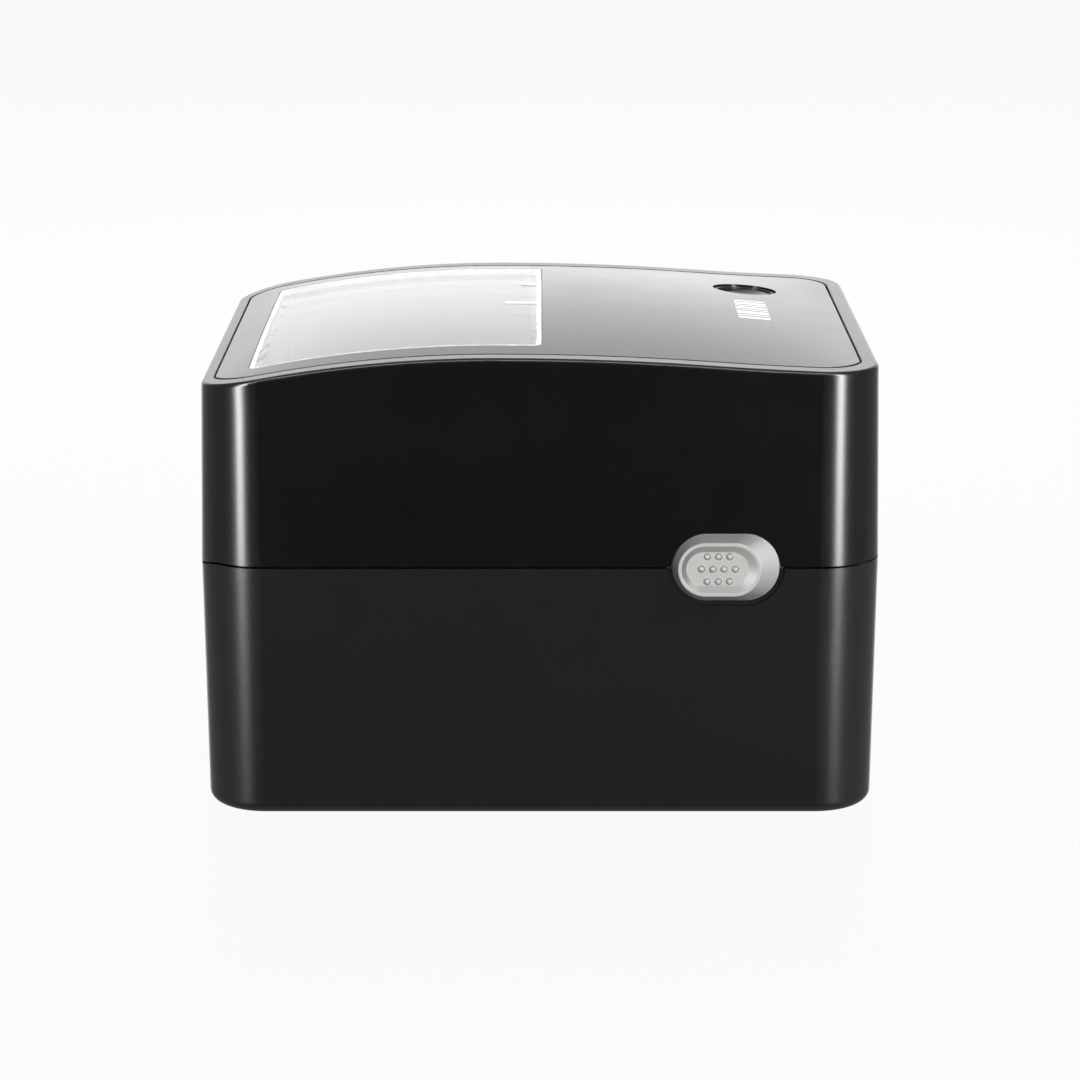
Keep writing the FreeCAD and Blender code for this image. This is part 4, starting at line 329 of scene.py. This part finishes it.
MATERIALS = {
    "case_upper": moulded_plastic("case_upper", grey(0.0024), 0.235, grain_depth=0.006, sheen_spread=0.012,
                                  wear_and_edge_highlight=0.4, dust=0.1, cloud_share=0.06, soft_mm=0),
    # The lower case is the same black plastic as the upper, given a lighter grey: partly a plainer finish of
    # its own, partly painted light standing in for light thrown up from the pale floor.
    "case_lower": moulded_plastic("case_lower", grey(0.0115, 0.02), 0.26, grain_depth=0.007,
                                  sheen_spread=0.012, wear_and_edge_highlight=0.4, dust=0.1, cloud_share=0.06, soft_mm=0),
    "panel": moulded_plastic("panel", grey(0.010), 0.20, grain_mm=0.8, grain_depth=0.004, sheen_spread=0.02,
                             wear_and_edge_highlight=0.3, dust=0.1, soft_mm=0),
    "window": window_sheet("window", *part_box("window")),
    "inner_plastic": moulded_plastic("inner_plastic", grey(0.030), 0.48, grain_mm=0.6, grain_depth=0.02,
                                     wear_and_edge_highlight=0.6),
    # The button's high edge value paints a highlight along its rims and dots, and its slope colour paints
    # shade onto its sloping flanks.
    "button": moulded_plastic("button", (0.60, 0.592, 0.575, 1), 0.43, grain_depth=0.006, sheen_spread=0.02,
                              wear_and_edge_highlight=2.0, dust=0.0, cloud_share=0.05, soft_mm=0.15,
                              painted_slope_shade=grey(0.21, 0.02)),
    "feed_cap": moulded_plastic("feed_cap", grey(0.010), 0.24, grain_mm=0.5, grain_depth=0.004, wear_and_edge_highlight=0.5),
    "light_ring": moulded_plastic("light_ring", grey(0.045), 0.30, grain_depth=0.003, wear_and_edge_highlight=0.2),
    "guide_plastic": moulded_plastic("guide_plastic", (0.115, 0.122, 0.13, 1), 0.42, wear_and_edge_highlight=0.5),
    "hub_plastic": moulded_plastic("hub_plastic", (0.62, 0.63, 0.64, 1), 0.40, wear_and_edge_highlight=0.2, dust=0.0),
    "gear_plastic": moulded_plastic("gear_plastic", (0.80, 0.79, 0.72, 1), 0.38, wear_and_edge_highlight=0.1, dust=0.0),
    "rubber": rubber("rubber", grey(0.016)),
    "platen": rubber("platen", grey(0.045), 0.6, ribs=220.0),
    "steel": metal("steel", (0.60, 0.60, 0.61, 1), 0.28, brush=(1.0, 30.0, 30.0)),
    "zinc": metal("zinc", (0.70, 0.71, 0.73, 1), 0.26, stain=0.5, coat_tint=(0.62, 0.60, 0.50, 1)),
    "spring_steel": metal("spring_steel", (0.46, 0.46, 0.48, 1), 0.32, brush=(30.0, 30.0, 1.0)),
    "aluminium": metal("aluminium", (0.78, 0.79, 0.80, 1), 0.34, brush=(0.4, 40.0, 40.0), brush_depth=0.01),
    "ceramic": ceramic("ceramic"),
    "brass": metal("brass", (0.74, 0.56, 0.24, 1), 0.30, stain=0.5),
    "bush": metal("bush", (0.55, 0.42, 0.24, 1), 0.48, stain=0.6),
    "board": circuit_board("board"),
    "chip": moulded_plastic("chip", grey(0.018), 0.5, grain_mm=0.2, wear_and_edge_highlight=0.2),
    "capacitor": moulded_plastic("capacitor", (0.02, 0.028, 0.06, 1), 0.25, grain_depth=0.002, wear_and_edge_highlight=0.1),
    "socket": moulded_plastic("socket", grey(0.016), 0.32, grain_mm=0.3, wear_and_edge_highlight=0.3),
    "usb_shell": metal("usb_shell", (0.66, 0.66, 0.68, 1), 0.30, brush=(30.0, 1.0, 30.0)),
    "cable": rubber("cable", grey(0.022), 0.5),
    "ribbon": moulded_plastic("ribbon", grey(0.62, 0.02), 0.36, grain_depth=0.002, wear_and_edge_highlight=0.1, dust=0.0),
    "print_ink": moulded_plastic("print_ink", grey(0.86), 0.38, grain_depth=0.003, wear_and_edge_highlight=0.3, dust=0.1),
}


# ---------------------------------------------------------------- dressing the CAD nodes
SLOT_OF = {p["node"]: p["material_slot"] for p in frame["record"]["subparts"]}
for node, o in NODES.items():
    o.data.materials.clear()
    o.data.materials.append(MATERIALS[SLOT_OF.get(node, "inner_plastic")])


# ---------------------------------------------------------------- pieces that bend or flex
def mesh_piece(name, points, faces, material, smooth=True):
    mesh = bpy.data.meshes.new(name)
    mesh.from_pydata([tuple(p) for p in points], [], faces)
    mesh.update()
    for polygon in mesh.polygons:
        polygon.use_smooth = smooth
    mesh.materials.append(material)
    o = bpy.data.objects.new(name, mesh)
    bpy.context.scene.collection.objects.link(o)
    return o


def coil_mesh(start, axis, side, length, radius, wire, points, faces):
    """Adds a coil spring with closed flat ends to the lists: centre line from start along axis."""
    around = COIL_FACES_AROUND
    axis, side = Vector(axis), Vector(side)
    other = axis.cross(side)
    rings = COIL_TURNS * COIL_STEPS_PER_TURN + 1
    base = len(points)
    for i in range(rings):
        share = i / (rings - 1)
        rise = (share * COIL_TURNS - COIL_CLOSED_TURNS) / (COIL_TURNS - 2 * COIL_CLOSED_TURNS)
        rise = wire + min(max(rise, 0.0), 1.0) * (length - 2 * wire) + (share - 0.5) * wire * COIL_DRIFT
        angle = 2 * math.pi * COIL_TURNS * share
        out = side * math.cos(angle) + other * math.sin(angle)
        middle = Vector(start) + axis * rise + out * radius
        for k in range(around):
            a = 2 * math.pi * k / around
            points.append(middle + (out * math.cos(a) + axis * math.sin(a)) * wire)
    for i in range(rings - 1):
        for k in range(around):
            n = (k + 1) % around
            faces.append((base + i * around + k, base + i * around + n,
                          base + (i + 1) * around + n, base + (i + 1) * around + k))
    faces.append(tuple(base + k for k in reversed(range(around))))
    faces.append(tuple(base + (rings - 1) * around + k for k in range(around)))


def button_spring(hand, sign):
    """Coil behind a side button, fitted to its CAD spring's box; on the printer it shortens as the button
    goes in.
    """
    node = f"button_spring_{hand}"
    low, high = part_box(node)
    middle = (low + high) / 2
    length = high.x - low.x
    inner_x = low.x if sign > 0 else high.x
    points, faces = [], []
    coil_mesh((inner_x, middle.y, middle.z), (sign, 0, 0), (0, 1, 0), length,
              BUTTON_COIL_R, BUTTON_WIRE_R, points, faces)
    o = mesh_piece(f"coil_{hand}", points, faces, MATERIALS["spring_steel"])
    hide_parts(node)
    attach(o, "base")
    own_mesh(o)


def head_coils():
    """The pair of coils that push the print head down onto the roller."""
    low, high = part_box("head_springs")
    length = high.z - low.z
    reach = HEAD_COIL_R + HEAD_WIRE_R
    y = (low.y + high.y) / 2
    points, faces = [], []
    for x in (low.x + reach, high.x - reach):
        coil_mesh((x, y, low.z), (0, 0, 1), (1, 0, 0), length, HEAD_COIL_R, HEAD_WIRE_R, points, faces)
    o = mesh_piece("head_coils", points, faces, MATERIALS["spring_steel"])
    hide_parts("head_springs")
    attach(o, "lid")
    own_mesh(o)


def sliced_copy(node, name, axis, places):
    """Copy of a CAD node's shape with extra cuts across axis, so that it can bend."""
    bm = bmesh.new()
    bm.from_mesh(NODES[node].data)
    bmesh.ops.remove_doubles(bm, verts=bm.verts, dist=1e-7)
    for at in places:
        everything = bm.verts[:] + bm.edges[:] + bm.faces[:]
        place = Vector(axis) * at
        bmesh.ops.bisect_plane(bm, geom=everything, plane_co=place, plane_no=Vector(axis), dist=1e-7)
    mesh = bpy.data.meshes.new(name)
    bm.to_mesh(mesh)
    bm.free()
    mesh.materials.append(NODES[node].data.materials[0])
    o = bpy.data.objects.new(name, mesh)
    bpy.context.scene.collection.objects.link(o)
    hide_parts(node)
    return o


def steps(start, end, count):
    return [start + (end - start) * i / count for i in range(1, count)]


def latch_leaf(hand):
    """Sprung leaf behind a side button, copied with cuts along its height; on the printer its foot stays with
    the base and its top goes in with the button.
    """
    low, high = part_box(f"latch_spring_{hand}")
    leaf = sliced_copy(f"latch_spring_{hand}", f"latch_leaf_{hand}", (0, 0, 1), steps(low.z, high.z, 16))
    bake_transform(leaf)


def ribbon_cable():
    """Flat cable, copied with cuts along its height; on the printer it bends between the base and the lid."""
    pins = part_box("hinge_pins")
    hinge_z = (pins[0].z + pins[1].z) / 2
    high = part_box("head_cable")[1]
    cuts = steps(hinge_z - CABLE_FIXED_BELOW_HINGE - 1 * MM, high.z - 2 * MM, 18)
    cable = sliced_copy("head_cable", "ribbon_cable", (0, 0, 1), cuts)
    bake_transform(cable)


for hand, sign in (("left", -1), ("right", 1)):
    button_spring(hand, sign)
    latch_leaf(hand)
head_coils()
ribbon_cable()


# ---------------------------------------------------------------- printed mark on the top panel
def on_panel(tree, x, y, lift):
    hit = tree.ray_cast(Vector((x, y, 1.0)), Vector((0, 0, -1)))[0]
    return Vector((x, y, hit.z + lift))


def panel_mark():
    """Plain bars of different widths, printed on the crown of the panel near the outlet."""
    panel = bmesh.new()
    panel.from_mesh(NODES["top_panel"].data)
    tree = BVHTree.FromBMesh(panel)
    panel.free()
    depth = MARK_Y1 - MARK_Y0
    points, faces = [], []
    left = MARK_X
    for width, gap in MARK_BARS:
        nx, ny = (2 if width > MARK_WIDE else 1), round(depth / MM)
        for lift in (MARK_ABOVE, -MARK_BELOW):
            start = len(points)
            for j in range(ny + 1):
                for i in range(nx + 1):
                    x = left + width * MM * i / nx
                    points.append(on_panel(tree, x, MARK_Y0 + depth * j / ny, lift))
            for j in range(ny):
                for i in range(nx):
                    corner = start + j * (nx + 1) + i
                    quad = (corner, corner + 1, corner + nx + 2, corner + nx + 1)
                    faces.append(quad if lift > 0 else quad[::-1])
        count = (nx + 1) * (ny + 1)
        top = len(points) - 2 * count
        rim = [i for i in range(nx)] + [nx + j * (nx + 1) for j in range(ny)]
        rim += [ny * (nx + 1) + nx - i for i in range(nx)] + [(ny - j) * (nx + 1) for j in range(ny)]
        for k, a in enumerate(rim):
            b = rim[(k + 1) % len(rim)]
            faces.append((top + a, top + count + a, top + count + b, top + b))
        left += (width + gap) * MM
    o = mesh_piece("panel_mark", points, faces, MATERIALS["print_ink"], smooth=False)
    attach(o, "lid")


panel_mark()


# ---------------------------------------------------------------- stage, light and camera
def area(name, at, target, width, height, power, color=(1, 1, 1), glossy=True, diffuse=True):
    lamp = bpy.data.lights.new(name, "AREA")
    lamp.shape = "RECTANGLE"
    lamp.size, lamp.size_y, lamp.energy, lamp.color = width, height, power, color
    o = bpy.data.objects.new(name, lamp)
    bpy.context.scene.collection.objects.link(o)
    o.location = at
    o.rotation_mode = "QUATERNION"
    o.rotation_quaternion = (Vector(target) - Vector(at)).to_track_quat("-Z", "Y")
    o.visible_camera = False
    o.visible_glossy = glossy
    o.visible_diffuse = diffuse
    return o


STRIP_ANGLE = math.radians(40)
STRIP_DISTANCE = 1.5
for side in (-1, 1):
    strip_at = Vector((-math.cos(STRIP_ANGLE), side * math.sin(STRIP_ANGLE), 0)) * STRIP_DISTANCE
    area(f"strip_{side + 1}", strip_at + Vector((0, 0, 0.50)), (0, 0, 0.50), 0.30, 1.45, 45, diffuse=False)
area("overhead", (-0.75, 0.0, 1.35), (0, 0, 0.1), 1.6, 0.36, 13, diffuse=False)
area("rear_fill", (1.0, 0.0, 1.0), (0, 0, 0.1), 0.6, 0.6, 22, glossy=False)
area("front_fill", (-1.40, -0.62, 0.16), (-0.09, -0.05, 0.08), 0.5, 0.5, 15, glossy=False)

world = bpy.data.worlds.new("studio")
bpy.context.scene.world = world
world.use_nodes = True
tree = world.node_tree
tree.nodes.clear()


def wnode(kind, inputs=None, **settings):
    node = tree.nodes.new(kind)
    for key, value in settings.items():
        setattr(node, key, value)
    for key, value in (inputs or {}).items():
        if isinstance(value, bpy.types.NodeSocket):
            tree.links.new(value, node.inputs[key])
        else:
            node.inputs[key].default_value = value
    return node


rays = wnode("ShaderNodeLightPath").outputs
direction = wnode("ShaderNodeSeparateXYZ", {0: wnode("ShaderNodeTexCoord").outputs["Generated"]}).outputs


def combined(operation, a, b):
    return wnode("ShaderNodeMath", {0: a, 1: b}, operation=operation).outputs[0]


def ramp(value, start, end, low, high):
    settings = {"Value": value, "From Min": start, "From Max": end, "To Min": low, "To Max": high}
    return wnode("ShaderNodeMapRange", settings, clamp=True, interpolation_type="SMOOTHSTEP").outputs[0]


# what glossy faces see: dim at the camera's side, bright behind the printer and brightest along the horizon
round_about = ramp(direction[0], -0.85, -0.50, 0.03, 0.33)
above = ramp(direction[2], 0.35, 0.9, 0.0, 0.6)
behind = ramp(direction[0], 0.75, 0.94, 0.0, 1.36)
horizon = ramp(direction[0], 0.95, 1.0, 0.0, 0.40)
straight_on = ramp(direction[0], 0.95, 1.0, 0.0, 1.0)
front_end = combined("MULTIPLY", ramp(direction[1], -0.01, -0.13, 0.0, 0.30), straight_on)
behind = combined("ADD", combined("ADD", behind, horizon), front_end)
glossy_sky = combined("MAXIMUM", combined("MAXIMUM", round_about, behind), above)
diffuse_sky = ramp(direction[2], -0.2, 1.0, 0.08, 0.55)
soft = wnode("ShaderNodeMix", {0: rays["Is Glossy Ray"], 2: diffuse_sky, 3: glossy_sky}, data_type="FLOAT")
seen = wnode("ShaderNodeMix", {0: rays["Is Camera Ray"], 2: soft.outputs[0], 3: BACKDROP}, data_type="FLOAT")
sky = wnode("ShaderNodeBackground", {"Color": (1, 1, 1, 1), "Strength": seen.outputs[0]})
tree.links.new(sky.outputs[0], wnode("ShaderNodeOutputWorld").inputs["Surface"])

floor_mesh = bpy.data.meshes.new("floor")
corners = [(-FLOOR_HALF, -FLOOR_HALF, 0), (FLOOR_HALF, -FLOOR_HALF, 0), (FLOOR_HALF, FLOOR_HALF, 0),
           (-FLOOR_HALF, FLOOR_HALF, 0)]
floor_mesh.from_pydata(corners, [], [(0, 1, 2, 3)])
floor = bpy.data.objects.new("floor", floor_mesh)
bpy.context.scene.collection.objects.link(floor)
floor.visible_glossy = False
floor.visible_diffuse = False
floor.visible_shadow = False
pale = Shader("pale_floor")
glow = pale.add("ShaderNodeEmission", {"Color": (1, 1, 1, 1), "Strength": FLOOR_GLOW}).outputs[0]
matte = pale.add("ShaderNodeBsdfDiffuse", {"Color": (0.02, 0.02, 0.02, 1)}).outputs[0]
pale.finish(pale.add("ShaderNodeAddShader", {0: glow, 1: matte}).outputs[0])
floor_mesh.materials.append(pale.material)

camera = bpy.data.objects.new("camera", bpy.data.cameras.new("camera"))
bpy.context.scene.collection.objects.link(camera)
camera.data.lens, camera.data.sensor_width = CAMERA_LENS, SENSOR
camera.data.clip_start, camera.data.clip_end = 0.05, 30.0
camera.location = CAMERA_AT
camera.rotation_mode = "QUATERNION"
look = Vector((math.cos(CAMERA_PITCH), 0, -math.sin(CAMERA_PITCH)))
camera.rotation_quaternion = look.to_track_quat("-Z", "Y")
bpy.context.scene.camera = camera
bpy.context.scene.view_settings.view_transform = "Standard"
